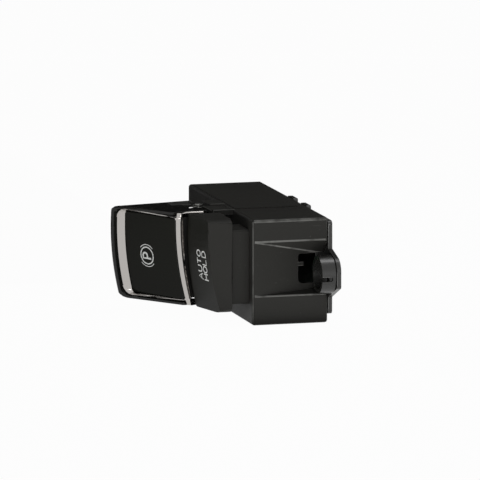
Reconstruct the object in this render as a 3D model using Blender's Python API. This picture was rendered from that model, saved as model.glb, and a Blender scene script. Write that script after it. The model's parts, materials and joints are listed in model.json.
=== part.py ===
# Parking brake switch for a centre console, lying on its flat long side.
# The button face looks along -Y, the near end with the hold button along +X, and the long
# side where the pivot shows looks up. All lengths are metres.
#
# Points are given on the switch itself: s runs along the housing from its near end, h stands
# out of the housing's front face, and w runs across the width from the flat side.

import math

import bmesh
import bpy
from mathutils import Matrix, Vector

# Housing
HOUSING_LENGTH = 0.0825
HOUSING_DEPTH = 0.0256
HOUSING_WIDTH = 0.035
HOUSING_WALL = 0.0016
HOUSING_EDGE = 0.0008
PAD_RISE = 0.00025
PAD_FAR = 0.0800
PAD_BACK = 0.022

# Clearances
SEAT_GAP = 0.0003
LID_GAP = 0.00015
TRIM_GAP = 0.0002
SLIDE_GAP = 0.0004

# Ramp that clears the mounting screw, on both end walls
RAMP_DEPTH = 0.006
RAMP_START = 0.0008
RAMP_LOW = 0.0097
RAMP_HIGH = 0.0275
RAMP_LOW_DRAFT = 0.0015
RAMP_HIGH_DRAFT = 0.0055
WINDOW_START = 0.0165
WINDOW_LOW = 0.0127
WINDOW_HIGH = 0.0226
WINDOW_TAB_WIDTH = 0.0013
WINDOW_TAB_LENGTH = 0.0019
WINDOW_TAB_PLACE = 0.0192

# Rear cover with screw lugs and plug shroud
COVER_THICKNESS = 0.0014
COVER_LOW = 0.0027
COVER_SIDE = 0.0013
COVER_END_INSET = 0.0001
COVER_LIP = 0.0011
COVER_LIP_HEIGHT = 0.0016
TAB_PLACES = (0.0305, 0.0465)
TAB_LENGTH = 0.0075
TAB_THICKNESS = 0.0017
LUG_TIP = 0.0106
LUG_LOW = 0.0084
LUG_HIGH = 0.0244
LUG_TIP_LOW = 0.0129
LUG_TIP_HIGH = 0.0216
LUG_RADIUS = 0.005
LUG_CORNER = 0.0013
LUG_REACH = 0.0042
LUG_PLACE = 0.0167
LUG_BORE = 0.0036
SHROUD_START = 0.0495
SHROUD_LENGTH = 0.0205
SHROUD_LOW = 0.0085
SHROUD_WIDTH = 0.019
SHROUD_HEIGHT = 0.0108
SHROUD_WALL = 0.0013
SHROUD_RADIUS = 0.002

# Slotted sleeve on each lug
SLEEVE_RADIUS = 0.0063
SLEEVE_WALL = 0.0013
SLEEVE_HEIGHT = 0.0046
SLEEVE_SLOT_WIDTH = 0.0015
SLEEVE_SLOT_LENGTH = 0.0036

# Plug pins
PIN_COUNT = 4
PIN_PITCH = 0.0036
PIN_ROW = 0.0034
PIN_SIDE = 0.0008
PIN_LENGTH = 0.0165

# Circuit board, its chip, screws and lamps
BOARD_FRONT = 0.016
BOARD_THICKNESS = 0.0016
BOARD_END = 0.0096
BOARD_SIDE = 0.0026
POST_RADIUS = 0.0023
POST_END = 0.0145
POST_SIDE = 0.0048
SCREW_RADIUS = 0.0009
SCREW_LENGTH = 0.006
SCREW_HEAD_RADIUS = 0.0019
SCREW_HEAD_HEIGHT = 0.0012
CHIP_SIDE = 0.0085
CHIP_HEIGHT = 0.0013
CHIP_PLACE = 0.06
LAMP_LENGTH = 0.0032
LAMP_WIDTH = 0.0028
LAMP_HEIGHT = 0.0019

# Button module: both buttons share one width and one crowned face
MODULE_LOW = 0.004
CROWN_RADIUS = 0.095
CROWN_RIDGE = 0.0343
CROWN_SKEW = 0.15
CROWN_STEPS = 14

# Hold button
HOLD_NEAR = 0.0024
HOLD_FAR = 0.0192
HOLD_BACK = 0.0061
HOLD_FACE_NEAR = 0.0141
HOLD_FACE_SLOPE = 0.167
HOLD_RIDGE = 0.0337
HOLD_SKEW = 0.31
HOLD_WALL = 0.0012
HOLD_LEAN = 0.0006
HOLD_CORNER_LONG = 0.0038
HOLD_CORNER_WIDE = 0.002
HOLD_EDGE = 0.0005
HOLD_TRAVEL = 0.0012

# Neck that guides the hold button
NECK_NEAR = 0.0043
NECK_FAR = 0.0172
NECK_LOW = 0.0065
NECK_SIDE = 0.0038
NECK_HEIGHT = 0.0078
NECK_RADIUS = 0.0009
NECK_BORE_NEAR = 0.0076
NECK_BORE_FAR = 0.0154
NECK_BORE_LOW = 0.010
NECK_BORE_SIDE = 0.007

# Hold button's plunger, switch, spring and light guide
PLUNGER_FOOT = 0.009
HOLD_GUIDE_SIDE = 0.0042
HOLD_GUIDE_PLACE = 0.0185
HOLD_SWITCH_PLACE = 0.0242
HOLD_SWITCH_SIDE = 0.0056
HOLD_SWITCH_HEIGHT = 0.0036
STEM_RADIUS = 0.0013
SPRING_PLACE = 0.013
HOLD_SPRING_RADIUS = 0.0019
HOLD_SPRING_WIRE = 0.0005
HOLD_SPRING_TURNS = 4

# Rocker: face plane of the parking button
FACE_S = 0.0215
FACE_H = 0.02035
FACE_ANGLE = math.radians(30)
CAP_LENGTH = 0.0238
CAP_SIDE = 0.0018
CAP_THICKNESS = 0.0014
RING_NEAR = 0.0016
RING_NEAR_DROP = 0.0007
RING_FAR = 0.0024
RING_FAR_RISE = 0.00156
RING_DEPTH = 0.0011
RING_FAR_DRAFT = 0.0016
RING_CORNER_NEAR = 0.0009
RING_CORNER_FAR = 0.0032
RING_LEG_WIDTH = 0.0009
RING_LEG_DEPTH = 0.0007
RING_LEG_BACK = 0.0104

# Rocker hood
HOOD_WALL = 0.00085
HOOD_NEAR_WAIST = (0.024, 0.0162)
HOOD_NEAR_BACK = (0.0241, 0.009)
HOOD_LIP = (0.045, 0.0372)
HOOD_LIP_RADIUS = 0.0009
HOOD_CORNER_TOP = 0.0042
HOOD_CORNER_BACK = 0.0013
HOOD_LIP_WALL = 0.0016
HOOD_WALL_TOP = (0.0454, 0.0345)
HOOD_WALL_BACK = (0.0473, 0.0176)
HOOD_BACK = 0.0176
ARCH_NEAR = 0.030
ARCH_TOP = 0.0139
ARCH_RADIUS = 0.0015

# Rocker carrier
CARRIER_SIDE = 0.0021
CARRIER_WALL = 0.0014
SKIRT_PROUD = 0.0002
SKIRT_REACH = 0.0031
SKIRT_SIDE_BACK = 0.0104
SKIRT_FAR_BACK = 0.0087
SKIRT_WALL = 0.0021
ARM_THICKNESS = 0.0027
ARM_EYE_RADIUS = 0.0023
ARM_DROP = 0.0033
TAIL_LENGTH = 0.0049
TAIL_WIDTH = 0.005
TAIL_REACH = 0.0102
TAIL_TIP = 0.0028

# Pivot, its eyes on the housing and the return springs
PIVOT_S = 0.0412
PIVOT_H = 0.0076
PIVOT_PIN_RADIUS = 0.0012
EYE_RADIUS = 0.0023
EYE_FACE = 0.0034
EYE_THICKNESS = 0.0014
CHEEK_NEAR = 0.024
CHEEK_HEIGHT = 0.0068
CHEEK_THICKNESS = 0.0011
CHEEK_INSET = 0.0006
CHEEK_STRIP = 0.0015
PEDESTAL_NEAR_REACH = 0.0042
PEDESTAL_FAR_REACH = 0.0044
PEDESTAL_HEIGHT = 0.005
SPRING_WIRE = 0.0006
SPRING_TURNS = 1
SPRING_FOOT_LEG = 0.0036
SPRING_TOP_LEG = 0.0093
SPRING_RISE = math.radians(41)
WELL_NEAR = 0.0255
WELL_FAR = 0.0462
WELL_LOW = 0.009
WELL_SIDE = 0.005

# Light guide of the parking button
PARK_GUIDE_PLACE = 0.0315
PARK_GUIDE_LENGTH = 0.0032
PARK_GUIDE_WIDTH = 0.004
PARK_GUIDE_BACK = 0.0085

# Slide contact that the rocker's tail moves
SHUTTLE_LENGTH = 0.0098
SHUTTLE_WIDTH = 0.0084
SHUTTLE_TOP = 0.0076
SHUTTLE_FOOT = 0.0142
SHUTTLE_SLOT_GAP = 0.0005
FRAME_RAIL = 0.0012
FRAME_LENGTH = 0.0155
FRAME_HEIGHT = 0.0052
CONTACT_LENGTH = 0.0076
CONTACT_WIDTH = 0.0012
CONTACT_THICKNESS = 0.0003

# Angles and facets
ROUND_SIDES = 24
SMALL_SIDES = 16
WIRE_SIDES = 6
TURN_STEPS = 16
ARC_STEPS = 4
SHARP_ANGLE = math.radians(35)

# Values that follow from the sizes above
MODULE_HIGH = HOUSING_WIDTH
MODULE_MIDDLE = (MODULE_LOW + MODULE_HIGH) / 2
COVER_HIGH = HOUSING_WIDTH - COVER_SIDE
TAB_HIGH = HOUSING_WIDTH - TRIM_GAP
NECK_HIGH = HOUSING_WIDTH - NECK_SIDE
NECK_BORE_HIGH = HOUSING_WIDTH - NECK_BORE_SIDE
WELL_HIGH = HOUSING_WIDTH - WELL_SIDE
SKIRT_NEAR = PIVOT_S - SKIRT_REACH
PEDESTAL_NEAR = PIVOT_S - PEDESTAL_NEAR_REACH
PEDESTAL_FAR = PIVOT_S + PEDESTAL_FAR_REACH
FACE_ALONG = Vector((math.cos(FACE_ANGLE), math.sin(FACE_ANGLE)))
FACE_NORMAL = Vector((-math.sin(FACE_ANGLE), math.cos(FACE_ANGLE)))
BOARD_BACK = BOARD_FRONT + BOARD_THICKNESS
LID_FRONT = HOUSING_DEPTH + LID_GAP
LID_BACK = LID_FRONT + COVER_THICKNESS


def at(s, h, w):
    """Point of the switch in the part's own frame."""
    return Vector((HOUSING_LENGTH / 2 - s, -HOUSING_DEPTH / 2 - h, w))


def switch_place(point):
    """Distances s, h and w of a point that is given in the part's frame."""
    return HOUSING_LENGTH / 2 - point.x, -point.y - HOUSING_DEPTH / 2, point.z


def face_point(along, up):
    """Point s, h that lies along the parking button's face plane and up from it."""
    return Vector((FACE_S, FACE_H)) + FACE_ALONG * along + FACE_NORMAL * up


def mirrored(w):
    """The same place on the other side of the button module."""
    return 2 * MODULE_MIDDLE - w


# Materials

def finish(name, color, roughness, metallic=0.0, transmission=0.0):
    material = bpy.data.materials.new(name)
    material.use_nodes = True
    shader = material.node_tree.nodes["Principled BSDF"]
    shader.inputs["Base Color"].default_value = (*color, 1.0)
    shader.inputs["Roughness"].default_value = roughness
    shader.inputs["Metallic"].default_value = metallic
    shader.inputs["Transmission Weight"].default_value = transmission
    material.diffuse_color = (*color, 1.0)
    return material


# Outlines

def rounded(corners, radii, steps=ARC_STEPS):
    """Closed outline through the corners, each rounded by its own radius."""
    if not isinstance(radii, (list, tuple)):
        radii = [radii] * len(corners)
    points = []
    for index, corner in enumerate(corners):
        here = Vector(corner)
        before = (Vector(corners[index - 1]) - here).normalized()
        after = (Vector(corners[(index + 1) % len(corners)]) - here).normalized()
        radius = radii[index]
        if radius == 0:
            points.append(here)
            continue
        half = before.angle(after) / 2
        centre = here + (before + after).normalized() * radius / math.sin(half)
        spoke = here + before * radius / math.tan(half) - centre
        turn = math.pi - 2 * half
        if before.x * after.y - before.y * after.x > 0:
            turn = -turn
        for step in range(steps + 1):
            points.append(centre + Matrix.Rotation(turn * step / steps, 2) @ spoke)
    return points


def rectangle(low_a, high_a, low_b, high_b):
    return [(low_a, low_b), (high_a, low_b), (high_a, high_b), (low_a, high_b)]


def circle(centre, radius, sides=ROUND_SIDES):
    turns = [2 * math.pi * step / sides for step in range(sides)]
    return [Vector(centre) + radius * Vector((math.cos(turn), math.sin(turn))) for turn in turns]


def hold_plan(inset):
    """Plan outline of the hold button, with the long soft corners of its near end."""
    near = HOLD_NEAR + inset
    far = HOLD_FAR - inset
    low = MODULE_LOW + inset
    high = MODULE_HIGH - inset
    long_axis = HOLD_CORNER_LONG
    wide_axis = HOLD_CORNER_WIDE
    points = []
    for side, edge in ((-1, low), (1, high)):
        corner = []
        for step in range(2 * ARC_STEPS + 1):
            lean = math.pi / 2 * step / (2 * ARC_STEPS)
            turn = math.atan2(long_axis * math.sin(lean), wide_axis * math.cos(lean))
            corner.append(Vector((near + long_axis * (1 - math.sin(turn)),
                                  edge - side * wide_axis * (1 - math.cos(turn)))))
        points += corner if side < 0 else reversed(corner)
    tail = max(HOUSING_EDGE - inset, TRIM_GAP)
    points += rounded([(near + long_axis, high), (far, high), (far, low), (near + long_axis, low)],
                      [0, tail, tail, 0])[1:-1]
    return points


# Solids

def make_piece(name, shape, material):
    bmesh.ops.recalc_face_normals(shape, faces=shape.faces)
    mesh = bpy.data.meshes.new(name)
    shape.to_mesh(mesh)
    shape.free()
    piece = bpy.data.objects.new(name, mesh)
    bpy.context.scene.collection.objects.link(piece)
    if material:
        mesh.materials.append(material)
    return piece


def skin(name, loops, material, closed=False):
    """Solid through a row of loops with equal numbers of points."""
    shape = bmesh.new()
    rings = [[shape.verts.new(point) for point in loop] for loop in loops]
    pairs = list(zip(rings, rings[1:]))
    if closed:
        pairs.append((rings[-1], rings[0]))
    else:
        shape.faces.new(rings[0])
        shape.faces.new(rings[-1])
    for first, second in pairs:
        for index in range(len(first)):
            shape.faces.new((first[index - 1], first[index], second[index], second[index - 1]))
    return make_piece(name, shape, material)


def extrude(name, outline, start, end, direction, material=None, steps=1):
    """Outline in s, h carried across w, in s, w carried along h, or in h, w along s."""
    loops = []
    for step in range(steps + 1):
        reach = start + (end - start) * step / steps
        if direction == "w":
            loops.append([at(point[0], point[1], reach) for point in outline])
        elif direction == "h":
            loops.append([at(point[0], reach, point[1]) for point in outline])
        else:
            loops.append([at(reach, point[0], point[1]) for point in outline])
    return skin(name, loops, material)


def block(name, s, h, w, material=None, steps=1):
    """Box from pairs of limits along s, h and w."""
    return extrude(name, rectangle(s[0], s[1], h[0], h[1]), w[0], w[1], "w", material, steps)


def settle(piece):
    """Turn a piece's modifiers into its mesh."""
    graph = bpy.context.evaluated_depsgraph_get()
    mesh = bpy.data.meshes.new_from_object(piece.evaluated_get(graph))
    piece.modifiers.clear()
    piece.data = mesh


def combine(piece, other, operation):
    modifier = piece.modifiers.new(operation.title(), "BOOLEAN")
    modifier.operation = operation
    modifier.solver = "EXACT"
    modifier.object = other
    settle(piece)
    bpy.data.objects.remove(other)


def cut(piece, *cutters):
    for cutter in cutters:
        combine(piece, cutter, "DIFFERENCE")


def join(piece, *others):
    for other in others:
        combine(piece, other, "UNION")


def common(piece, other):
    combine(piece, other, "INTERSECT")


def soften(piece, width, segments=2, angle=math.radians(50)):
    """Round the sharp edges of a piece."""
    modifier = piece.modifiers.new("Bevel", "BEVEL")
    modifier.width = width
    modifier.segments = segments
    modifier.limit_method = "ANGLE"
    modifier.angle_limit = angle
    modifier.use_clamp_overlap = True
    settle(piece)


def park_ridge(s):
    return CROWN_RIDGE - CROWN_SKEW * s


def hold_ridge(s):
    return HOLD_RIDGE - HOLD_SKEW * s


def crown(piece, base, face, ridge):
    """Lower the face side of a piece to a button's crown, which is highest along its ridge."""
    for vertex in piece.data.vertices:
        s, h, w = switch_place(vertex.co)
        share = (h - base) / (face(s) - base)
        share = min(max(share, 0.0), 1.0)
        h -= share * (ridge(s) - w) ** 2 / (2 * CROWN_RADIUS)
        vertex.co = at(s, h, w)
    piece.data.update()


def park_face(s):
    return FACE_H + (s - FACE_S) * math.tan(FACE_ANGLE)


def hold_face(s):
    return HOLD_FACE_NEAR + (s - HOLD_NEAR) * HOLD_FACE_SLOPE


def shade(piece):
    piece.data.shade_smooth()
    piece.data.set_sharp_from_angle(angle=SHARP_ANGLE)


def set_origin(piece, point):
    """Put a piece's origin on its joint's axis, with its mesh where it was."""
    piece.data.transform(Matrix.Translation(-point))
    piece.location = point


def coil(name, path, wire, material):
    """Round wire along a path, with closed ends."""
    loops = []
    for index, point in enumerate(path):
        ahead = path[min(index + 1, len(path) - 1)]
        behind = path[max(index - 1, 0)]
        along = (ahead - behind).normalized()
        across = along.cross(Vector((0, 0, 1)))
        if across.length < 0.3:
            across = along.cross(Vector((1, 0, 0)))
        across.normalize()
        up = across.cross(along)
        turns = [2 * math.pi * side / WIRE_SIDES for side in range(WIRE_SIDES)]
        loops.append([point + wire / 2 * (math.cos(turn) * across + math.sin(turn) * up)
                      for turn in turns])
    return skin(name, loops, material)


# Housing

def ramp_body(name, end, wall):
    """The space of the ramp in an end wall, grown by a wall on its inner side."""
    way = 1 if end == 0 else -1
    out = end - way * HOUSING_WALL
    back = -HOUSING_DEPTH - HOUSING_WALL
    deep = RAMP_DEPTH + wall
    low = RAMP_LOW - wall
    high = RAMP_HIGH + wall
    start = -RAMP_START + wall
    shape = bmesh.new()
    for s, h, low_w, high_w in ((out, start, low, high),
                                (end, start, low, high),
                                (out, back, low, high),
                                (end, back, low, high),
                                (end + way * deep, back, low + RAMP_LOW_DRAFT, high - RAMP_HIGH_DRAFT)):
        shape.verts.new(at(s, h, low_w))
        shape.verts.new(at(s, h, high_w))
    bmesh.ops.convex_hull(shape, input=shape.verts)
    return make_piece(name, shape, None)


def window_cutter(end):
    """Window through the ramp, with a small tab left at its front edge."""
    way = 1 if end == 0 else -1
    far = end + way * (RAMP_DEPTH + 2 * HOUSING_WALL)
    outline = rounded(rectangle(-HOUSING_DEPTH - HOUSING_WALL, -WINDOW_START, WINDOW_LOW, WINDOW_HIGH),
                      [0, 2 * HOUSING_EDGE, HOUSING_EDGE, 0])
    cutter = extrude("window", outline, end - way * HOUSING_WALL, far, "s")
    tab = block("tab", sorted((end - 2 * way * HOUSING_WALL, far + way * HOUSING_WALL)),
                (-WINDOW_START - WINDOW_TAB_LENGTH, 0),
                (WINDOW_TAB_PLACE - WINDOW_TAB_WIDTH / 2, WINDOW_TAB_PLACE + WINDOW_TAB_WIDTH / 2))
    cut(cutter, tab)
    return cutter


def side_places(inner, outer):
    """Limits across w of a feature near the module's high side, and of its mirror image."""
    return ((inner, outer), (mirrored(outer), mirrored(inner)))


def make_cheeks(housing):
    """Cheek plates with the pedestals and eyes that carry the pivot pin."""
    root = -HOUSING_WALL / 2
    high = MODULE_HIGH
    plate = side_places(high - CHEEK_INSET - CHEEK_THICKNESS, high - CHEEK_INSET)
    strip = side_places(high - CHEEK_INSET - CHEEK_THICKNESS, high)
    pedestal = side_places(high - EYE_FACE, high)
    eye = side_places(high - EYE_FACE, high - EYE_FACE + EYE_THICKNESS)
    pedestal_outline = rounded(rectangle(PEDESTAL_NEAR, PEDESTAL_FAR, root, PEDESTAL_HEIGHT),
                               [0, 0, HOUSING_EDGE, HOUSING_EDGE])
    eye_outline = [(PIVOT_S + EYE_RADIUS, root)]
    eye_outline += [Vector((PIVOT_S, PIVOT_H)) + EYE_RADIUS * Vector((math.cos(turn), math.sin(turn)))
                    for turn in (math.pi * step / 10 for step in range(11))]
    eye_outline += [(PIVOT_S - EYE_RADIUS, root)]
    for side in (0, 1):
        join(housing,
             block("plate", (CHEEK_NEAR, PEDESTAL_NEAR + HOUSING_EDGE), (root, CHEEK_HEIGHT), plate[side]),
             block("strip", (CHEEK_NEAR, CHEEK_NEAR + CHEEK_STRIP), (root, CHEEK_HEIGHT), strip[side]),
             extrude("pedestal", pedestal_outline, *pedestal[side], "w"),
             extrude("eye", eye_outline, *eye[side], "w"))
        low_w, high_w = eye[side]
        cut(housing, extrude("bore", circle((PIVOT_S, PIVOT_H), PIVOT_PIN_RADIUS + SEAT_GAP),
                             low_w - HOUSING_WALL, high_w + HOUSING_WALL, "w"))


def post_places():
    ends = (POST_END, HOUSING_LENGTH - POST_END)
    sides = (POST_SIDE, HOUSING_WIDTH - POST_SIDE)
    return [(s, w) for s in ends for w in sides]


def make_housing(material):
    housing = block("housing", (0, HOUSING_LENGTH), (-HOUSING_DEPTH, 0), (0, HOUSING_WIDTH), material)
    soften(housing, HOUSING_EDGE)
    pad = block("pad", (CHEEK_NEAR, PAD_FAR), (-PAD_BACK, -HOUSING_EDGE),
                (HOUSING_WIDTH - HOUSING_WALL / 2, HOUSING_WIDTH + PAD_RISE))
    join(housing, pad)
    neck = extrude("neck", rounded(rectangle(NECK_NEAR, NECK_FAR, NECK_LOW, NECK_HIGH), NECK_RADIUS),
                   -HOUSING_WALL / 2, NECK_HEIGHT, "h")
    join(housing, neck)
    make_cheeks(housing)

    cavity = block("cavity", (HOUSING_WALL, HOUSING_LENGTH - HOUSING_WALL),
                   (-HOUSING_DEPTH - HOUSING_WALL, -HOUSING_WALL),
                   (HOUSING_WALL, HOUSING_WIDTH - HOUSING_WALL))
    cut(cavity, ramp_body("near backing", 0, HOUSING_WALL),
        ramp_body("far backing", HOUSING_LENGTH, HOUSING_WALL))
    for s, w in post_places():
        cut(cavity, extrude("post", circle((s, w), POST_RADIUS, SMALL_SIDES),
                            -BOARD_FRONT + SEAT_GAP, 0, "h"))
    cut(housing, cavity,
        ramp_body("near ramp", 0, 0), ramp_body("far ramp", HOUSING_LENGTH, 0),
        window_cutter(0), window_cutter(HOUSING_LENGTH),
        block("rocker well", (WELL_NEAR, WELL_FAR), (-2 * HOUSING_WALL, HOUSING_WALL), (WELL_LOW, WELL_HIGH)),
        block("neck bore", (NECK_BORE_NEAR, NECK_BORE_FAR), (-2 * HOUSING_WALL, NECK_HEIGHT + HOUSING_WALL),
              (NECK_BORE_LOW, NECK_BORE_HIGH)))
    for s, w in post_places():
        cut(housing, extrude("screw hole", circle((s, w), SCREW_RADIUS + SEAT_GAP, SMALL_SIDES),
                             -BOARD_FRONT - HOUSING_WALL, -BOARD_FRONT + SCREW_LENGTH, "h"))
    return housing


# Rear cover

def lug_outline(end):
    """Screw lug: one side round, the other running straight to a tight corner."""
    way = -1 if end == 0 else 1
    root = -COVER_THICKNESS
    corners = [(root, LUG_LOW), (0, LUG_LOW), (LUG_TIP, LUG_TIP_LOW), (LUG_TIP, LUG_TIP_HIGH),
               (0, LUG_HIGH), (root, LUG_HIGH)]
    outline = rounded(corners, [0, 0, LUG_CORNER, LUG_RADIUS, 0, 0], 2 * ARC_STEPS)
    centre = Vector((end + way * LUG_REACH, LUG_PLACE))
    return [Vector((end + way * point.x, point.y)) for point in outline], centre


def pin_places():
    middle_s = SHROUD_START + SHROUD_LENGTH / 2
    middle_w = SHROUD_LOW + SHROUD_WIDTH / 2
    return [(middle_s + (column - (PIN_COUNT - 1) / 2) * PIN_PITCH, middle_w + side * PIN_ROW / 2)
            for side in (-1, 1) for column in range(PIN_COUNT)]


def make_rear_cover(material):
    plan = rounded(rectangle(COVER_END_INSET, HOUSING_LENGTH - COVER_END_INSET, COVER_LOW, COVER_HIGH),
                   2 * HOUSING_EDGE)
    cover = extrude("rear_cover", plan, -LID_BACK, -LID_FRONT, "h", material)
    for end in (0, HOUSING_LENGTH):
        outline, centre = lug_outline(end)
        join(cover, extrude("lug", outline, -LID_BACK, -LID_FRONT, "h"))
        cut(cover, extrude("lug bore", circle(centre, LUG_BORE), -LID_BACK - COVER_THICKNESS,
                           -LID_FRONT + COVER_THICKNESS, "h"))
    inset = HOUSING_WALL + SEAT_GAP
    ramp = RAMP_DEPTH + inset + HOUSING_WALL
    room = (ramp, HOUSING_LENGTH - ramp, COVER_LOW + SEAT_GAP, HOUSING_WIDTH - inset)
    inner = [edge + way * COVER_LIP for edge, way in zip(room, (1, -1, 1, -1))]
    lip = extrude("lip", rounded(rectangle(*room), HOUSING_EDGE),
                  -LID_BACK + COVER_THICKNESS / 2, -LID_FRONT + COVER_LIP_HEIGHT, "h")
    cut(lip, extrude("lip inside", rounded(rectangle(*inner), HOUSING_EDGE), -LID_FRONT, 0, "h"))
    join(cover, lip)
    for place in TAB_PLACES:
        tab = rounded(rectangle(place - TAB_LENGTH / 2, place + TAB_LENGTH / 2,
                                COVER_HIGH - 2 * COVER_THICKNESS, TAB_HIGH),
                      [0, 0, HOUSING_EDGE, HOUSING_EDGE])
        join(cover, extrude("tab", tab, -LID_FRONT - TAB_THICKNESS, -LID_FRONT - TRIM_GAP, "h"))
    shroud_far = SHROUD_START + SHROUD_LENGTH
    shroud_high = SHROUD_LOW + SHROUD_WIDTH
    join(cover, extrude("shroud", rounded(rectangle(SHROUD_START, shroud_far, SHROUD_LOW, shroud_high),
                                          SHROUD_RADIUS),
                        -LID_BACK - SHROUD_HEIGHT, -LID_FRONT - COVER_THICKNESS / 2, "h"))
    cut(cover, extrude("socket", rounded(rectangle(SHROUD_START + SHROUD_WALL, shroud_far - SHROUD_WALL,
                                                   SHROUD_LOW + SHROUD_WALL, shroud_high - SHROUD_WALL),
                                         SHROUD_RADIUS - SHROUD_WALL),
                       -LID_BACK - SHROUD_HEIGHT - HOUSING_WALL, -LID_BACK, "h"))
    reach = PIN_SIDE / 2 + SEAT_GAP
    for s, w in pin_places():
        cut(cover, block("pin hole", (s - reach, s + reach), (-LID_BACK - COVER_THICKNESS, 0),
                         (w - reach, w + reach)))
    return cover


def make_sleeve(name, end, material):
    way = -1 if end == 0 else 1
    centre = lug_outline(end)[1]
    back = -LID_FRONT + SEAT_GAP
    front = back + SLEEVE_HEIGHT
    sleeve = extrude(name, circle(centre, SLEEVE_RADIUS, 2 * SMALL_SIDES), back, front, "h", material)
    cut(sleeve, extrude("sleeve bore", circle(centre, SLEEVE_RADIUS - SLEEVE_WALL, 2 * SMALL_SIDES),
                        back - SLEEVE_WALL, front + SLEEVE_WALL, "h"))
    slot = rounded(rectangle(front - SLEEVE_SLOT_LENGTH, front + SLEEVE_WALL,
                             centre.y - SLEEVE_SLOT_WIDTH, centre.y),
                   [SLEEVE_SLOT_WIDTH * 0.45, 0, 0, SLEEVE_SLOT_WIDTH * 0.45])
    cut(sleeve, extrude("slot", slot, centre.x, centre.x + way * 2 * SLEEVE_RADIUS, "s"))
    return sleeve


# Inside the housing

def make_board(material):
    low = BOARD_SIDE
    board = block("circuit_board", (BOARD_END, HOUSING_LENGTH - BOARD_END), (-BOARD_BACK, -BOARD_FRONT),
                  (low, HOUSING_WIDTH - low), material)
    for s, w in post_places():
        cut(board, extrude("hole", circle((s, w), SCREW_RADIUS + SEAT_GAP, SMALL_SIDES),
                           -BOARD_BACK - HOUSING_WALL, -BOARD_FRONT + HOUSING_WALL, "h"))
    return board


def make_board_screw(name, s, w, material):
    """Pan head behind the board, shank into the housing's post."""
    head = -BOARD_BACK - SEAT_GAP
    profile = [(SCREW_HEAD_RADIUS - SEAT_GAP, head - SCREW_HEAD_HEIGHT),
               (SCREW_HEAD_RADIUS, head - SCREW_HEAD_HEIGHT / 2),
               (SCREW_HEAD_RADIUS, head), (SCREW_RADIUS, head),
               (SCREW_RADIUS, -BOARD_FRONT + SCREW_LENGTH - 3 * SEAT_GAP),
               (SCREW_RADIUS / 2, -BOARD_FRONT + SCREW_LENGTH - SEAT_GAP)]
    loops = [[at(point.x, h, point.y) for point in circle((s, w), radius, SMALL_SIDES)]
             for radius, h in profile]
    return skin(name, loops, material)


def make_pin(name, s, w, material):
    front = -BOARD_BACK - SEAT_GAP
    half = PIN_SIDE / 2
    tip = half * 0.4
    profile = [(half, front), (half, front - PIN_LENGTH + PIN_SIDE), (tip, front - PIN_LENGTH)]
    loops = []
    for reach, h in profile:
        loops.append([at(s + a * reach, h, w + b * reach) for a, b in ((-1, -1), (1, -1), (1, 1), (-1, 1))])
    return skin(name, loops, material)


def make_lamp(name, s, w, material):
    lamp = block(name, (s - LAMP_LENGTH / 2, s + LAMP_LENGTH / 2),
                 (-BOARD_FRONT + SEAT_GAP, -BOARD_FRONT + SEAT_GAP + LAMP_HEIGHT),
                 (w - LAMP_WIDTH / 2, w + LAMP_WIDTH / 2), material)
    soften(lamp, TRIM_GAP, 1)
    return lamp


def make_chip(material):
    front = -BOARD_FRONT + SEAT_GAP
    chip = block("control_chip", (CHIP_PLACE - CHIP_SIDE / 2, CHIP_PLACE + CHIP_SIDE / 2),
                 (front, front + CHIP_HEIGHT),
                 (HOUSING_WIDTH / 2 - CHIP_SIDE / 2, HOUSING_WIDTH / 2 + CHIP_SIDE / 2), material)
    soften(chip, TRIM_GAP, 1)
    return chip


# Hold button

def make_hold_cap(material):
    near = HOLD_NEAR
    low_edge = HOLD_BACK
    far = HOLD_FAR
    section = [(near, low_edge), (far, low_edge), (far, hold_face(far)),
               (near + HOLD_LEAN, hold_face(near + HOLD_LEAN))]
    cap = extrude("hold_cap", section, MODULE_LOW, MODULE_HIGH, "w", material, CROWN_STEPS)
    common(cap, extrude("plan", hold_plan(0), 0, HOLD_TRAVEL + hold_face(2 * far), "h"))
    wall = HOLD_WALL
    inside = [(near, low_edge - wall), (far, low_edge - wall), (far, hold_face(far) - wall),
              (near, hold_face(near) - wall)]
    room = extrude("room", inside, MODULE_LOW + wall, MODULE_HIGH - wall, "w", None, CROWN_STEPS)
    common(room, extrude("inner plan", hold_plan(wall), 0, hold_face(2 * far), "h"))
    cut(cap, room)
    crown(cap, HOLD_BACK, hold_face, hold_ridge)
    soften(cap, HOLD_EDGE)
    return cap


def make_hold_plunger(material):
    """Plunger that hangs from the hold button into the neck's bore."""
    gap = SLIDE_GAP
    near = NECK_BORE_NEAR + gap
    far = NECK_BORE_FAR - gap
    roof = HOLD_WALL + SEAT_GAP
    section = [(near, -PLUNGER_FOOT), (far, -PLUNGER_FOOT), (far, hold_face(far) - roof),
               (near, hold_face(near) - roof)]
    plunger = extrude("hold_plunger", section, NECK_BORE_LOW + gap, NECK_BORE_HIGH - gap, "w",
                      material, CROWN_STEPS)
    middle = (NECK_BORE_NEAR + NECK_BORE_FAR) / 2
    half = HOLD_GUIDE_SIDE / 2 + gap
    crown(plunger, HOLD_BACK, hold_face, hold_ridge)
    cut(plunger, block("guide way", (middle - half, middle + half), (-2 * PLUNGER_FOOT, 2 * hold_face(far)),
                       (HOLD_GUIDE_PLACE - half, HOLD_GUIDE_PLACE + half)))
    return plunger


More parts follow.
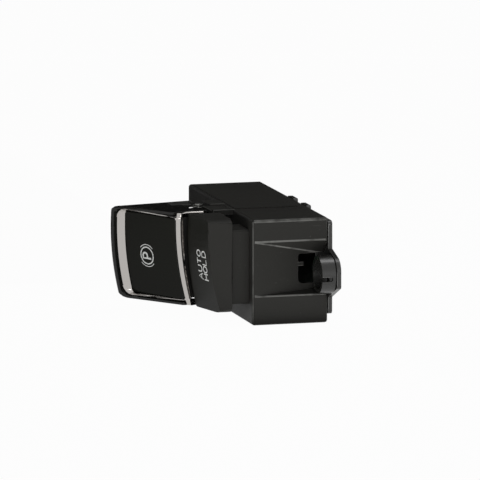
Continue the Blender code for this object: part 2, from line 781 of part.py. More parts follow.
def make_hold_guide(material):
    middle = (NECK_BORE_NEAR + NECK_BORE_FAR) / 2
    half = HOLD_GUIDE_SIDE / 2
    front = hold_face(middle - half) - HOLD_WALL - SEAT_GAP - HOLD_TRAVEL - SLIDE_GAP
    guide = block("hold_light_guide", (middle - half, middle + half),
                  (-BOARD_FRONT + LAMP_HEIGHT + 2 * SEAT_GAP, front),
                  (HOLD_GUIDE_PLACE - half, HOLD_GUIDE_PLACE + half), material, 2)
    crown(guide, HOLD_BACK, hold_face, hold_ridge)
    soften(guide, SEAT_GAP, 1)
    return guide


def make_hold_switch(material, stem_material):
    middle = (NECK_BORE_NEAR + NECK_BORE_FAR) / 2
    half = HOLD_SWITCH_SIDE / 2
    back = -BOARD_FRONT + SEAT_GAP
    front = back + HOLD_SWITCH_HEIGHT
    body = block("hold_switch_body", (middle - half, middle + half), (back, front),
                 (HOLD_SWITCH_PLACE - half, HOLD_SWITCH_PLACE + half), material)
    soften(body, SEAT_GAP, 1)
    cut(body, extrude("stem hole", circle((middle, HOLD_SWITCH_PLACE), STEM_RADIUS + SEAT_GAP, SMALL_SIDES),
                      back + HOUSING_EDGE, front + HOUSING_EDGE, "h"))
    stem = extrude("hold_switch_stem", circle((middle, HOLD_SWITCH_PLACE), STEM_RADIUS, SMALL_SIDES),
                   back + HOUSING_EDGE + HOLD_TRAVEL + SEAT_GAP, -PLUNGER_FOOT - SEAT_GAP, "h", stem_material)
    return stem


def make_hold_spring(material):
    """Coil spring between the board and the plunger's foot."""
    middle = (NECK_BORE_NEAR + NECK_BORE_FAR) / 2
    back = -BOARD_FRONT + SEAT_GAP + HOLD_SPRING_WIRE / 2
    front = -PLUNGER_FOOT - SEAT_GAP - HOLD_SPRING_WIRE / 2
    count = HOLD_SPRING_TURNS * TURN_STEPS
    path = []
    for step in range(count + 1):
        turn = 2 * math.pi * step / TURN_STEPS
        path.append(at(middle + HOLD_SPRING_RADIUS * math.cos(turn), back + (front - back) * step / count,
                       SPRING_PLACE + HOLD_SPRING_RADIUS * math.sin(turn)))
    return coil("hold_spring", path, HOLD_SPRING_WIRE, material)


# Parking rocker

def hood_section():
    """Side outline of the hood: near edge, rim line, lip and far wall."""
    rim_near = face_point(RING_LEG_DEPTH, -RING_NEAR_DROP)
    rim = face_point(2 * RING_LEG_DEPTH, RING_LEG_DEPTH / 2)
    corners = [HOOD_NEAR_BACK, HOOD_NEAR_WAIST, rim_near, rim, HOOD_LIP, HOOD_WALL_TOP, HOOD_WALL_BACK,
               (HOOD_WALL_BACK[0], HOOD_NEAR_BACK[1])]
    return rounded(corners, [0, HOUSING_EDGE, 0, 0, HOOD_LIP_RADIUS, HOOD_LIP_RADIUS / 2, 0, 0])


def hood_plan(name, side, end):
    """Room inside the hood's plan outline, whose far corners widen towards the lip."""
    top = 2 * HOOD_LIP[1]
    fall = (HOOD_WALL_BACK[0] - HOOD_WALL_TOP[0]) / (HOOD_WALL_TOP[1] - HOOD_WALL_BACK[1])
    spread = (HOOD_CORNER_TOP - HOOD_CORNER_BACK) / HOOD_LIP[1]
    loops = []
    for h in (0, HOOD_LIP[1], top):
        far = HOOD_WALL_TOP[0] + (HOOD_WALL_TOP[1] - h) * fall - end
        radius = max(HOOD_CORNER_BACK + spread * min(h, HOOD_LIP[1]) - side, HOUSING_EDGE / 2)
        outline = rounded(rectangle(0, far, MODULE_LOW + side, MODULE_HIGH - side), [0, radius, radius, 0])
        loops.append([at(point.x, h, point.y) for point in outline])
    return skin(name, loops, None)


def arch_cutter(name, inner, outer, near, far):
    corners = [(near, 0), (far, 0), (far, ARCH_TOP), (near, ARCH_TOP)]
    return extrude(name, rounded(corners, [0, 0, TRIM_GAP, ARCH_RADIUS]), inner, outer, "w")


def make_hood(material):
    hood = extrude("rocker_hood", hood_section(), MODULE_LOW, MODULE_HIGH, "w", material, CROWN_STEPS)
    far = HOOD_WALL_BACK[0]
    common(hood, hood_plan("plan", 0, -TRIM_GAP / 2))
    wall = HOOD_WALL
    # opening for the ring and the cap, as long as the ring's outer edge
    edge = CAP_LENGTH + RING_FAR + TRIM_GAP
    floor = -RING_DEPTH - CAP_THICKNESS
    opening = [face_point(-2 * RING_NEAR, floor), face_point(edge, floor),
               face_point(edge, 4 * RING_FAR), face_point(-2 * RING_NEAR, 4 * RING_FAR)]
    # room for the carrier below it, down past the hood's back edge
    roof = face_point(edge - wall, floor + TRIM_GAP)
    inner_top = Vector(HOOD_WALL_TOP) - Vector((2 * wall, 0))
    inner_back = Vector(HOOD_WALL_BACK) - Vector((wall, 0))
    slope = (inner_back - inner_top) / (inner_top.y - inner_back.y)
    wall_at_roof = inner_top + slope * (inner_top.y - roof.y)
    wall_below = inner_back + slope * HOOD_BACK
    room = [face_point(-4 * RING_NEAR, floor + TRIM_GAP), (HOLD_FAR, 0), (wall_below.x, wall_below.y),
            (wall_at_roof.x, wall_at_roof.y)]
    inner = (MODULE_LOW + wall, MODULE_HIGH - wall)
    mouth = extrude("opening", opening, *inner, "w", None, CROWN_STEPS)
    common(mouth, hood_plan("mouth plan", wall, HOOD_LIP_WALL))
    inside = extrude("room", room, *inner, "w", None, CROWN_STEPS)
    common(inside, hood_plan("room plan", wall, wall))
    cut(hood, mouth, inside)
    # back edge of the far wall, and the arches over the pivot
    cut(hood, block("back", (SKIRT_NEAR - SEAT_GAP, far + HOUSING_WALL), (0, HOOD_BACK),
                    (0, HOUSING_WIDTH + HOUSING_WALL), None, CROWN_STEPS))
    for low_w, high_w in side_places(MODULE_HIGH - 2 * wall, MODULE_HIGH + wall):
        cut(hood, arch_cutter("arch", low_w, high_w, ARCH_NEAR, SKIRT_NEAR))
    crown(hood, HOOD_NEAR_BACK[1], park_face, park_ridge)
    soften(hood, TRIM_GAP)
    return hood


def frame_loop(near, far, low, high, radii, height):
    """Rounded frame in the face plane, at a height that may change along it."""
    across = CROWN_STEPS
    along = 8
    points = []
    corners = [(near, low), (far, low), (far, high), (near, high)]
    for index, corner in enumerate(corners):
        here = Vector(corner)
        after = Vector(corners[(index + 1) % 4])
        radius = radii[index]
        way = (after - here).normalized()
        turn = Vector((-way.y, way.x))
        centre = here + (way + turn) * radius
        for step in range(ARC_STEPS):
            angle = math.pi / 2 * step / ARC_STEPS
            points.append(centre - radius * (math.cos(angle) * way + math.sin(angle) * turn))
        count = along if index % 2 == 0 else across
        start = here + way * radius
        run = (after - here).length - radius - radii[(index + 1) % 4]
        for step in range(count):
            points.append(start + way * run * step / count)
    loop = []
    for point in points:
        place = face_point(point.x, height(point.x))
        loop.append(at(place.x, place.y, point.y))
    return loop


def make_ring(material):
    """Bright frame: wide sloping far bar, thin rails, near bar with legs down its sides."""
    gap = HOOD_WALL + TRIM_GAP
    near = -RING_NEAR
    far = CAP_LENGTH + RING_FAR
    low = MODULE_LOW + gap
    high = MODULE_HIGH - gap
    cap_low = MODULE_LOW + CAP_SIDE
    cap_high = MODULE_HIGH - CAP_SIDE
    span = far - near

    def top(along):
        return -RING_NEAR_DROP + (RING_FAR_RISE + RING_NEAR_DROP) * (along - near) / span

    def flat(_):
        return 0.0

    def bottom(_):
        return -RING_DEPTH - RING_NEAR_DROP

    outer = (RING_CORNER_NEAR, RING_CORNER_FAR, RING_CORNER_FAR, RING_CORNER_NEAR)
    inner = [max(radius - RING_FAR, HOUSING_EDGE) for radius in outer]
    loops = [frame_loop(near, far - RING_FAR_DRAFT, low, high, outer, bottom),
             frame_loop(near, far, low, high, outer, top),
             frame_loop(0, CAP_LENGTH, cap_low, cap_high, inner, flat),
             frame_loop(0, CAP_LENGTH, cap_low, cap_high, inner, bottom)]
    ring = skin("chrome_ring", loops, material, closed=True)
    step = TRIM_GAP / 3
    bar = [face_point(near - step, -RING_NEAR_DROP - step), face_point(-step, -3 * step),
           face_point(-step, bottom(0) + step), face_point(near - step, bottom(0) + step)]
    join(ring, extrude("bar", bar, MODULE_LOW + TRIM_GAP / 2, MODULE_HIGH - TRIM_GAP / 2, "w",
                       None, CROWN_STEPS))
    root = face_point(near, -RING_NEAR_DROP)
    waist = Vector(HOOD_NEAR_WAIST) - Vector((RING_LEG_DEPTH + TRIM_GAP, 0))
    leg = [(root.x + step, root.y - step), (waist.x, waist.y), (waist.x, RING_LEG_BACK),
           (waist.x + RING_LEG_DEPTH, RING_LEG_BACK), (waist.x + RING_LEG_DEPTH, waist.y),
           (root.x + 2 * RING_LEG_DEPTH, root.y)]
    for low_w, high_w in side_places(MODULE_HIGH - RING_LEG_WIDTH, MODULE_HIGH - TRIM_GAP / 2):
        join(ring, extrude("leg", leg, low_w, high_w, "w"))
    crown(ring, HOOD_NEAR_BACK[1], park_face, park_ridge)
    return ring


def make_rocker_cap(material):
    low = MODULE_LOW + CAP_SIDE + TRIM_GAP
    high = MODULE_HIGH - CAP_SIDE - TRIM_GAP
    near = TRIM_GAP
    far = CAP_LENGTH - TRIM_GAP
    section = [face_point(near, -CAP_THICKNESS), face_point(far, -CAP_THICKNESS),
               face_point(far, 0), face_point(near, 0)]
    cap = extrude("rocker_cap", section, low, high, "w", material, CROWN_STEPS)
    crown(cap, HOOD_NEAR_BACK[1], park_face, park_ridge)
    soften(cap, TRIM_GAP, 2)
    return cap


def make_carrier(material):
    """Moulding under the hood: deck, walls, arms on the pin, far skirt and tail."""
    base = HOOD_NEAR_BACK[1]
    low = MODULE_LOW + CARRIER_SIDE
    high = MODULE_HIGH - CARRIER_SIDE
    deck = -RING_DEPTH - RING_NEAR_DROP - SEAT_GAP
    near_top = face_point(RING_NEAR, deck)
    lip_top = face_point(CAP_LENGTH, deck)
    wall = HOOD_WALL + SEAT_GAP
    back = Vector(HOOD_WALL_BACK) - Vector((wall, 0))
    top = Vector(HOOD_WALL_TOP) - Vector((2 * HOOD_WALL + SEAT_GAP, 0))
    slope = (back - top) / (top.y - back.y)
    far_top = top + slope * (top.y - lip_top.y)
    far_back = back + slope * (back.y - base)
    near_back = (HOOD_NEAR_WAIST[0] + SEAT_GAP, base)
    near_waist = (HOOD_NEAR_WAIST[0] + SEAT_GAP, HOOD_NEAR_WAIST[1])
    section = [near_back, near_waist, near_top, lip_top, far_top, far_back]
    carrier = extrude("rocker_carrier", section, low, high, "w", material, CROWN_STEPS)
    thick = CARRIER_WALL
    under = Vector((0, -2 * thick))
    aside = Vector((thick, 0))
    inside = [Vector(near_back) + Vector((thick, -thick)), Vector(near_waist) + aside,
              near_top + under + aside, lip_top + under - aside, far_top + under - aside,
              far_back - Vector((thick, thick))]
    cut(carrier, extrude("inside", inside, low + thick, high - thick, "w", None, CROWN_STEPS))
    common(carrier, hood_plan("carrier plan", HOOD_WALL + SEAT_GAP, HOOD_WALL + SEAT_GAP))

    skirt_wall = SKIRT_WALL + SKIRT_PROUD
    far_low = HOOD_WALL_BACK[0] + (HOOD_BACK - SKIRT_FAR_BACK) * -slope.x / slope.y
    skirt = block("skirt", (SKIRT_NEAR, far_low + SKIRT_PROUD), (SKIRT_SIDE_BACK, HOOD_BACK - SEAT_GAP),
                  (MODULE_LOW, MODULE_HIGH), None, CROWN_STEPS)
    join(skirt, block("skirt end", (far_low + SKIRT_PROUD - 2 * skirt_wall, far_low + SKIRT_PROUD),
                      (SKIRT_FAR_BACK, HOOD_BACK - SEAT_GAP), (MODULE_LOW, MODULE_HIGH), None, CROWN_STEPS))
    cut(skirt, block("skirt inside", (SKIRT_NEAR - thick, far_low + SKIRT_PROUD - skirt_wall), (0, HOOD_BACK),
                      (MODULE_LOW + skirt_wall, MODULE_HIGH - skirt_wall)))
    common(skirt, hood_plan("skirt plan", 0, -SKIRT_PROUD))
    join(carrier, skirt)
    for low_w, high_w in side_places(high - 2 * thick, high + thick / 2):
        cut(carrier, arch_cutter("arch", low_w, high_w, ARCH_NEAR, SKIRT_NEAR + TRIM_GAP))
        cut(carrier, block("eye room", (PIVOT_S - 2 * EYE_RADIUS, far_low - 2 * skirt_wall),
                           (0, SKIRT_SIDE_BACK), (low_w, high_w)))
    eye = MODULE_HIGH - EYE_FACE - SEAT_GAP
    arm_far = PIVOT_S + ARM_EYE_RADIUS
    arm_near = PIVOT_S - 2 * ARM_EYE_RADIUS
    arm = [(arm_far, PIVOT_H), (arm_far, park_face(arm_far) - ARM_DROP),
           (arm_near, park_face(arm_near) - ARM_DROP)]
    arm += [Vector((PIVOT_S, PIVOT_H)) + ARM_EYE_RADIUS * Vector((math.cos(turn), math.sin(turn)))
            for turn in (math.pi + math.pi * step / 10 for step in range(10))]
    for low_w, high_w in side_places(eye - ARM_THICKNESS, eye):
        join(carrier, extrude("arm", arm, low_w, high_w, "w"))
        cut(carrier, extrude("pin bore", circle((PIVOT_S, PIVOT_H), PIVOT_PIN_RADIUS + SEAT_GAP),
                             low_w - thick, high_w + thick, "w"))
    tail_near = PIVOT_S - TAIL_LENGTH / 2
    tail_far = PIVOT_S + TAIL_LENGTH / 2
    tip = TAIL_TIP / 2
    tail = [(tail_near, park_face(tail_near) - ARM_DROP), (tail_near, 0), (PIVOT_S - tip, -TAIL_REACH + tip),
            (PIVOT_S, -TAIL_REACH), (PIVOT_S + tip, -TAIL_REACH + tip), (tail_far, 0),
            (tail_far, park_face(tail_far) - ARM_DROP)]
    join(carrier, extrude("tail", tail, MODULE_MIDDLE - TAIL_WIDTH / 2, MODULE_MIDDLE + TAIL_WIDTH / 2, "w"))
    cut(carrier, extrude("pin way", circle((PIVOT_S, PIVOT_H), PIVOT_PIN_RADIUS + SEAT_GAP),
                         MODULE_MIDDLE - TAIL_WIDTH, MODULE_MIDDLE + TAIL_WIDTH, "w"))
    crown(carrier, base, park_face, park_ridge)
    guide = PARK_GUIDE_LENGTH / 2 + SEAT_GAP
    guide_w = PARK_GUIDE_WIDTH / 2 + SEAT_GAP
    cut(carrier, block("guide hole", (PARK_GUIDE_PLACE - guide, PARK_GUIDE_PLACE + guide),
                       (base, 2 * park_face(PIVOT_S)),
                       (MODULE_MIDDLE - guide_w, MODULE_MIDDLE + guide_w)))
    return carrier


def make_park_guide(material):
    half = PARK_GUIDE_LENGTH / 2
    drop = CAP_THICKNESS + SEAT_GAP
    near = PARK_GUIDE_PLACE - half
    far = PARK_GUIDE_PLACE + half
    top = drop / math.cos(FACE_ANGLE)
    section = [(near, -PARK_GUIDE_BACK), (far, -PARK_GUIDE_BACK), (far, park_face(far) - top),
               (near, park_face(near) - top)]
    guide = extrude("p_light_guide", section, MODULE_MIDDLE - PARK_GUIDE_WIDTH / 2,
                    MODULE_MIDDLE + PARK_GUIDE_WIDTH / 2, "w", material, 2)
    crown(guide, HOOD_NEAR_BACK[1], park_face, park_ridge)
    return guide


def make_pivot_pin(material):
    reach = MODULE_HIGH - SEAT_GAP
    chamfer = SEAT_GAP
    profile = [(PIVOT_PIN_RADIUS - chamfer, mirrored(reach)), (PIVOT_PIN_RADIUS, mirrored(reach) + chamfer),
               (PIVOT_PIN_RADIUS, reach - chamfer), (PIVOT_PIN_RADIUS - chamfer, reach)]
    loops = [[at(point.x, point.y, w) for point in circle((PIVOT_S, PIVOT_H), radius)]
             for radius, w in profile]
    return skin("pivot_pin", loops, material)


def make_return_spring(name, side, material):
    """Torsion spring round the pin's end, one leg on the pedestal, one towards the arch."""
    radius = PIVOT_PIN_RADIUS + SEAT_GAP + SPRING_WIRE / 2
    inner = MODULE_HIGH - EYE_FACE + EYE_THICKNESS + SEAT_GAP + SPRING_WIRE / 2
    outer = MODULE_HIGH - SPRING_WIRE / 2 - SEAT_GAP
    start = -math.pi / 2
    total = 2 * math.pi * SPRING_TURNS + SPRING_RISE
    count = TURN_STEPS * SPRING_TURNS
    path = [(PIVOT_S + SPRING_FOOT_LEG, PIVOT_H - radius, inner)]
    for step in range(count + 1):
        turn = start - total * step / count
        path.append((PIVOT_S + radius * math.cos(turn), PIVOT_H + radius * math.sin(turn),
                     inner + (outer - inner) * step / count))
    end = start - total
    leave = Vector((math.sin(end), -math.cos(end)))
    tip = Vector(path[-1][:2]) + leave * SPRING_TOP_LEG
    path.append((tip.x, tip.y, outer))
    points = [at(s, h, w if side > 0 else mirrored(w)) for s, h, w in path]
    return coil(name, points, SPRING_WIRE, material)


# Slide contact

def make_shuttle(material, contact_material):
    half = SHUTTLE_LENGTH / 2
    wide = SHUTTLE_WIDTH / 2
    shuttle = block("contact_shuttle", (PIVOT_S - half, PIVOT_S + half), (-SHUTTLE_FOOT, -SHUTTLE_TOP),
                    (MODULE_MIDDLE - wide, MODULE_MIDDLE + wide), material)
    soften(shuttle, SEAT_GAP, 1)
    slot = TAIL_TIP / 2 + SHUTTLE_SLOT_GAP
    slot_w = TAIL_WIDTH / 2 + SHUTTLE_SLOT_GAP
    cut(shuttle, block("slot", (PIVOT_S - slot, PIVOT_S + slot), (-TAIL_REACH - 2 * SHUTTLE_SLOT_GAP, 0),
                       (MODULE_MIDDLE - slot_w, MODULE_MIDDLE + slot_w)))
    contact = block("shuttle_contact", (PIVOT_S - CONTACT_LENGTH / 2, PIVOT_S + CONTACT_LENGTH / 2),
                    (-SHUTTLE_FOOT - SEAT_GAP - CONTACT_THICKNESS, -SHUTTLE_FOOT - SEAT_GAP),
                    (MODULE_MIDDLE - 2 * CONTACT_WIDTH, MODULE_MIDDLE + 2 * CONTACT_WIDTH), contact_material)
    gap = CONTACT_WIDTH / 2
    for side in (-1, 1):
        middle = MODULE_MIDDLE + side * CONTACT_WIDTH
        cut(contact, block("finger gap", (PIVOT_S - CONTACT_LENGTH / 3, PIVOT_S + CONTACT_LENGTH),
                           (-2 * SHUTTLE_FOOT, 0), (middle - gap / 2, middle + gap / 2)))
    return shuttle, contact


def make_shuttle_frame(material):
    """Two rails on the board that guide the shuttle."""
    wide = SHUTTLE_WIDTH / 2 + SLIDE_GAP
    half = FRAME_LENGTH / 2
    back = -BOARD_FRONT + SEAT_GAP
    frame = block("shuttle_frame", (PIVOT_S - half, PIVOT_S + half), (back, back + FRAME_HEIGHT),
                  (MODULE_MIDDLE - wide - FRAME_RAIL, MODULE_MIDDLE + wide + FRAME_RAIL), material)
    soften(frame, SEAT_GAP, 1)
    inner = half - FRAME_RAIL
    cut(frame, block("way", (PIVOT_S - inner, PIVOT_S + inner), (back - FRAME_RAIL, back + 2 * FRAME_HEIGHT),
                     (MODULE_MIDDLE - wide, MODULE_MIDDLE + wide)))
    return frame


def build():
    for old in list(bpy.data.objects):
        bpy.data.objects.remove(old)

    matte = finish("matte black plastic", (0.022, 0.022, 0.023), 0.5)
    gloss = finish("gloss black plastic", (0.012, 0.012, 0.013), 0.12)
    cap_black = finish("satin black plastic", (0.014, 0.014, 0.015), 0.3)
    carrier_black = finish("grained black plastic", (0.028, 0.028, 0.029), 0.6)
    chrome = finish("satin chrome", (0.62, 0.6, 0.57), 0.2, 1.0)
    steel = finish("spring steel", (0.5, 0.5, 0.52), 0.3, 1.0)
    brass = finish("tinned brass", (0.62, 0.58, 0.45), 0.3, 1.0)
    green = finish("board laminate", (0.02, 0.11, 0.05), 0.45)
    white = finish("white slide plastic", (0.75, 0.75, 0.72), 0.4)
    clear = finish("clear light guide", (0.85, 0.87, 0.88), 0.1, 0.0, 0.9)
    chip_black = finish("chip plastic", (0.02, 0.02, 0.02), 0.7)
    lamp_white = finish("lamp body", (0.8, 0.78, 0.6), 0.4)

    make_housing(matte)
    make_rear_cover(matte)
    make_sleeve("mounting_sleeve_near", 0, matte)
    make_sleeve("mounting_sleeve_far", HOUSING_LENGTH, matte)
    make_board(green)
    for index, (s, w) in enumerate(post_places()):
        make_board_screw("board_screw_%d" % (index + 1), s, w, steel)
    for index, (s, w) in enumerate(pin_places()):
        make_pin("contact_pin_%d" % (index + 1), s, w, brass)
    make_chip(chip_black)
    neck_middle = (NECK_BORE_NEAR + NECK_BORE_FAR) / 2
    make_lamp("hold_lamp", neck_middle, HOLD_GUIDE_PLACE, lamp_white)
    make_lamp("p_lamp", PARK_GUIDE_PLACE, MODULE_MIDDLE, lamp_white)

    hold_cap = make_hold_cap(cap_black)
    plunger = make_hold_plunger(white)
    make_hold_guide(clear)
    stem = make_hold_switch(chip_black, white)
    make_hold_spring(steel)

    hood = make_hood(gloss)
    ring = make_ring(chrome)
    rocker_cap = make_rocker_cap(gloss)
    carrier = make_carrier(carrier_black)
    park_guide = make_park_guide(clear)
    make_pivot_pin(steel)
    make_return_spring("return_spring_right", 1, steel)
    make_return_spring("return_spring_left", -1, steel)
    shuttle, contact = make_shuttle(white, brass)
    make_shuttle_frame(chip_black)

    pivot = at(PIVOT_S, PIVOT_H, MODULE_MIDDLE)
    for piece in (hood, ring, rocker_cap, carrier, park_guide):
        set_origin(piece, pivot)
    press = at(neck_middle, 0, HOLD_GUIDE_PLACE)
    for piece in (hold_cap, plunger, stem):
        set_origin(piece, press)
    slide = at(PIVOT_S, -SHUTTLE_FOOT, MODULE_MIDDLE)
    for piece in (shuttle, contact):
        set_origin(piece, slide)
    for piece in bpy.data.objects:
        shade(piece)


build()
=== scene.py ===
# Parking brake switch: finish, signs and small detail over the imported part.
import json
import math
import bpy
import bmesh
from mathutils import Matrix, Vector


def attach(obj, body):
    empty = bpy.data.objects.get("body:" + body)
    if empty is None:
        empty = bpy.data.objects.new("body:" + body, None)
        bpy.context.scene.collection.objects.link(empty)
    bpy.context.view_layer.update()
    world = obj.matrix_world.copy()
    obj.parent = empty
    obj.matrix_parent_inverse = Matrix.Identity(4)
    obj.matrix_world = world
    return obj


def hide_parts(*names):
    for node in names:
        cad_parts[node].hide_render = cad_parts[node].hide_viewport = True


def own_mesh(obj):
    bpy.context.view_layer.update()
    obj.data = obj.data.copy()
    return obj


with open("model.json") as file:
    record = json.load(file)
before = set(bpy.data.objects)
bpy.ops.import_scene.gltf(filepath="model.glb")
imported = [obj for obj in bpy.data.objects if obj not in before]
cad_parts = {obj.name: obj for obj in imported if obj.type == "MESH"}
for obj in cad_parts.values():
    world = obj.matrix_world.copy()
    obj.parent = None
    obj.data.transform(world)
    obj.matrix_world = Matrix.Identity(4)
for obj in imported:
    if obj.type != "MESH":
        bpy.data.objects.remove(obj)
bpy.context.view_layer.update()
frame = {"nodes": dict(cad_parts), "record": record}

nodes = frame["nodes"]
scene = bpy.context.scene

# Places on the switch: s along the housing from its near end, h out of its front face,
# w across from the flat side it lies on. All sizes are metres.
switch = {
    "length": 0.0825,
    "depth": 0.0256,
    "width": 0.035,
    "moduleMiddle": 0.0195,  # w of the middle of both buttons
    "crownRadius": 0.095,
}
# Each button face stands at h above one s, climbs with s, and is crowned about a ridge,
# which is given by its w at s = 0 and by how much it falls with s.
buttonFaces = {
    "park": {"s": 0.0215, "h": 0.02035, "climb": math.tan(math.radians(30)), "ridge": (0.0343, 0.15)},
    "hold": {"s": 0.0024, "h": 0.0141, "climb": 0.167, "ridge": (0.0337, 0.31)},
}


def at(s, h, w):
    return Vector((switch["length"] / 2 - s, -switch["depth"] / 2 - h, w))


def placeOf(point):
    return switch["length"] / 2 - point.x, -point.y - switch["depth"] / 2, point.z


def faceHeight(button, s, w):
    face = buttonFaces[button]
    start, fall = face["ridge"]
    crown = (start - fall * s - w) ** 2 / (2 * switch["crownRadius"])
    return face["h"] + (s - face["s"]) * face["climb"] - crown


# Materials

grain = {
    "fineDetail": 3,
    "wideScale": 90,
    "wideDetail": 4,
    "bump": 0.00005,  # height of the moulded texture
}


def addNode(tree, kind, x, y):
    node = tree.nodes.new(kind)
    node.location = (x, y)
    return node


def addSockets(group, side, sockets):
    kinds = {"colour": "NodeSocketColor", "number": "NodeSocketFloat", "vector": "NodeSocketVector"}
    for name, kind in sockets.items():
        group.interface.new_socket(name, in_out=side, socket_type=kinds[kind])


def makeGrainGroup():
    group = bpy.data.node_groups.new("mouldedGrain", "ShaderNodeTree")
    addSockets(group, "INPUT", {"Colour": "colour", "Roughness": "number", "Grain": "number",
                                "Depth": "number", "Haze": "number"})
    addSockets(group, "OUTPUT", {"Colour": "colour", "Roughness": "number", "Normal": "vector"})
    given = addNode(group, "NodeGroupInput", -900, 0)
    result = addNode(group, "NodeGroupOutput", 600, 0)
    place = addNode(group, "ShaderNodeTexCoord", -900, -300)
    fine = addNode(group, "ShaderNodeTexNoise", -600, -300)  # moulded texture
    fine.inputs["Detail"].default_value = grain["fineDetail"]
    wide = addNode(group, "ShaderNodeTexNoise", -600, 300)  # flow marks and handling haze
    wide.inputs["Scale"].default_value = grain["wideScale"]
    wide.inputs["Detail"].default_value = grain["wideDetail"]
    group.links.new(place.outputs["Object"], fine.inputs["Vector"])
    group.links.new(place.outputs["Object"], wide.inputs["Vector"])
    group.links.new(given.outputs["Grain"], fine.inputs["Scale"])
    shift = addNode(group, "ShaderNodeMath", -350, 300)
    shift.operation = "SUBTRACT"
    shift.inputs[1].default_value = 0.5  # the noise's middle value
    group.links.new(wide.outputs["Fac"], shift.inputs[0])
    amount = addNode(group, "ShaderNodeMath", -150, 300)
    amount.operation = "MULTIPLY"
    group.links.new(shift.outputs[0], amount.inputs[0])
    group.links.new(given.outputs["Haze"], amount.inputs[1])
    rough = addNode(group, "ShaderNodeMath", 100, 300)
    rough.operation = "ADD"
    rough.use_clamp = True
    group.links.new(amount.outputs[0], rough.inputs[0])
    group.links.new(given.outputs["Roughness"], rough.inputs[1])
    light = addNode(group, "ShaderNodeMath", 100, 100)
    light.operation = "ADD"
    light.inputs[1].default_value = 1
    group.links.new(amount.outputs[0], light.inputs[0])
    tone = addNode(group, "ShaderNodeVectorMath", 300, 100)
    tone.operation = "SCALE"
    group.links.new(given.outputs["Colour"], tone.inputs[0])
    group.links.new(light.outputs[0], tone.inputs["Scale"])
    bump = addNode(group, "ShaderNodeBump", 100, -300)
    bump.inputs["Distance"].default_value = grain["bump"]
    group.links.new(given.outputs["Depth"], bump.inputs["Strength"])
    group.links.new(fine.outputs["Fac"], bump.inputs["Height"])
    group.links.new(tone.outputs[0], result.inputs["Colour"])
    group.links.new(rough.outputs[0], result.inputs["Roughness"])
    group.links.new(bump.outputs[0], result.inputs["Normal"])
    return group


grainGroup = makeGrainGroup()

# Marks of use, and the painted highlight on rounded edges, are noise patterns: where the noise lies in the
# range, the mark fades in.
wearMarks = {
    "edgeWearAndSheen": {"scale": 220, "stretch": (1, 1, 1), "range": (0.2, 0.5)},
    "scratch": {"scale": 260, "stretch": (9, 0.25, 9), "range": (0.71, 0.78)},
    "dust": {"scale": 1500, "stretch": (1, 1, 1), "range": (0.72, 0.78)},
}
wearTurn = (0.4, 0.7, 0.3)  # so that no mark runs along an edge
wearDetail = 2


def makeWearAndSheenGroup():
    # rounded edges painted lighter, partly as rubbed wear and partly as a painted highlight, with fine
    # scratches and specks of dust, all as a lighter colour and another roughness
    group = bpy.data.node_groups.new("edgeWearAndHighlight", "ShaderNodeTree")
    addSockets(group, "INPUT", {"Colour": "colour", "Roughness": "number", "Edge Wear And Sheen": "number",
                                "Wear And Sheen Colour": "colour", "Wear And Sheen Roughness": "number",
                                "Scratches": "number", "Dust": "number"})
    addSockets(group, "OUTPUT", {"Colour": "colour", "Roughness": "number"})
    given = addNode(group, "NodeGroupInput", -1100, 0)
    result = addNode(group, "NodeGroupOutput", 900, 0)
    place = addNode(group, "ShaderNodeTexCoord", -1300, -400)

    def noiseMask(mark, y):
        mapping = addNode(group, "ShaderNodeMapping", -1100, y)
        mapping.inputs["Scale"].default_value = wearMarks[mark]["stretch"]
        mapping.inputs["Rotation"].default_value = wearTurn
        noise = addNode(group, "ShaderNodeTexNoise", -900, y)
        noise.inputs["Scale"].default_value = wearMarks[mark]["scale"]
        noise.inputs["Detail"].default_value = wearDetail
        span = addNode(group, "ShaderNodeMapRange", -700, y)
        low, high = wearMarks[mark]["range"]
        span.inputs["From Min"].default_value = low
        span.inputs["From Max"].default_value = high
        group.links.new(place.outputs["Object"], mapping.inputs["Vector"])
        group.links.new(mapping.outputs["Vector"], noise.inputs["Vector"])
        group.links.new(noise.outputs["Fac"], span.inputs["Value"])
        return span.outputs["Result"]

    def join(operation, first, second, x, y):
        node = addNode(group, "ShaderNodeMath", x, y)
        node.operation = operation
        group.links.new(first, node.inputs[0])
        group.links.new(second, node.inputs[1])
        return node.outputs[0]

    # rounded edges: partly rubbed wear, partly a painted highlight
    markedAndLit = join("MULTIPLY", given.outputs["Edge Wear And Sheen"], noiseMask("edgeWearAndSheen", 300), -450, 200)
    scratched = join("MULTIPLY", given.outputs["Scratches"], noiseMask("scratch", -300), -450, -300)
    specks = join("MULTIPLY", given.outputs["Dust"], noiseMask("dust", -700), -450, -700)
    marks = join("MAXIMUM", scratched, specks, -200, -400)
    mask = join("MAXIMUM", markedAndLit, marks, 0, 0)
    tone = addNode(group, "ShaderNodeMix", 300, 200)
    tone.data_type = "RGBA"
    group.links.new(mask, tone.inputs[0])
    group.links.new(given.outputs["Colour"], tone.inputs[6])  # 6 and 7 are its two colours
    group.links.new(given.outputs["Wear And Sheen Colour"], tone.inputs[7])
    rough = addNode(group, "ShaderNodeMix", 300, -100)
    group.links.new(mask, rough.inputs[0])
    group.links.new(given.outputs["Roughness"], rough.inputs[2])  # 2 and 3 are its two numbers
    group.links.new(given.outputs["Wear And Sheen Roughness"], rough.inputs[3])
    group.links.new(tone.outputs[2], result.inputs["Colour"])
    group.links.new(rough.outputs[0], result.inputs["Roughness"])
    return group


wearAndSheenGroup = makeWearAndSheenGroup()

# what a finish has where it says nothing else
plainLook = {
    "metallic": 0, "specular": 0.5, "transmission": 0,
    "grain": 3000, "depth": 0.2, "haze": 0.25, "scratches": 0, "dust": 0,
}


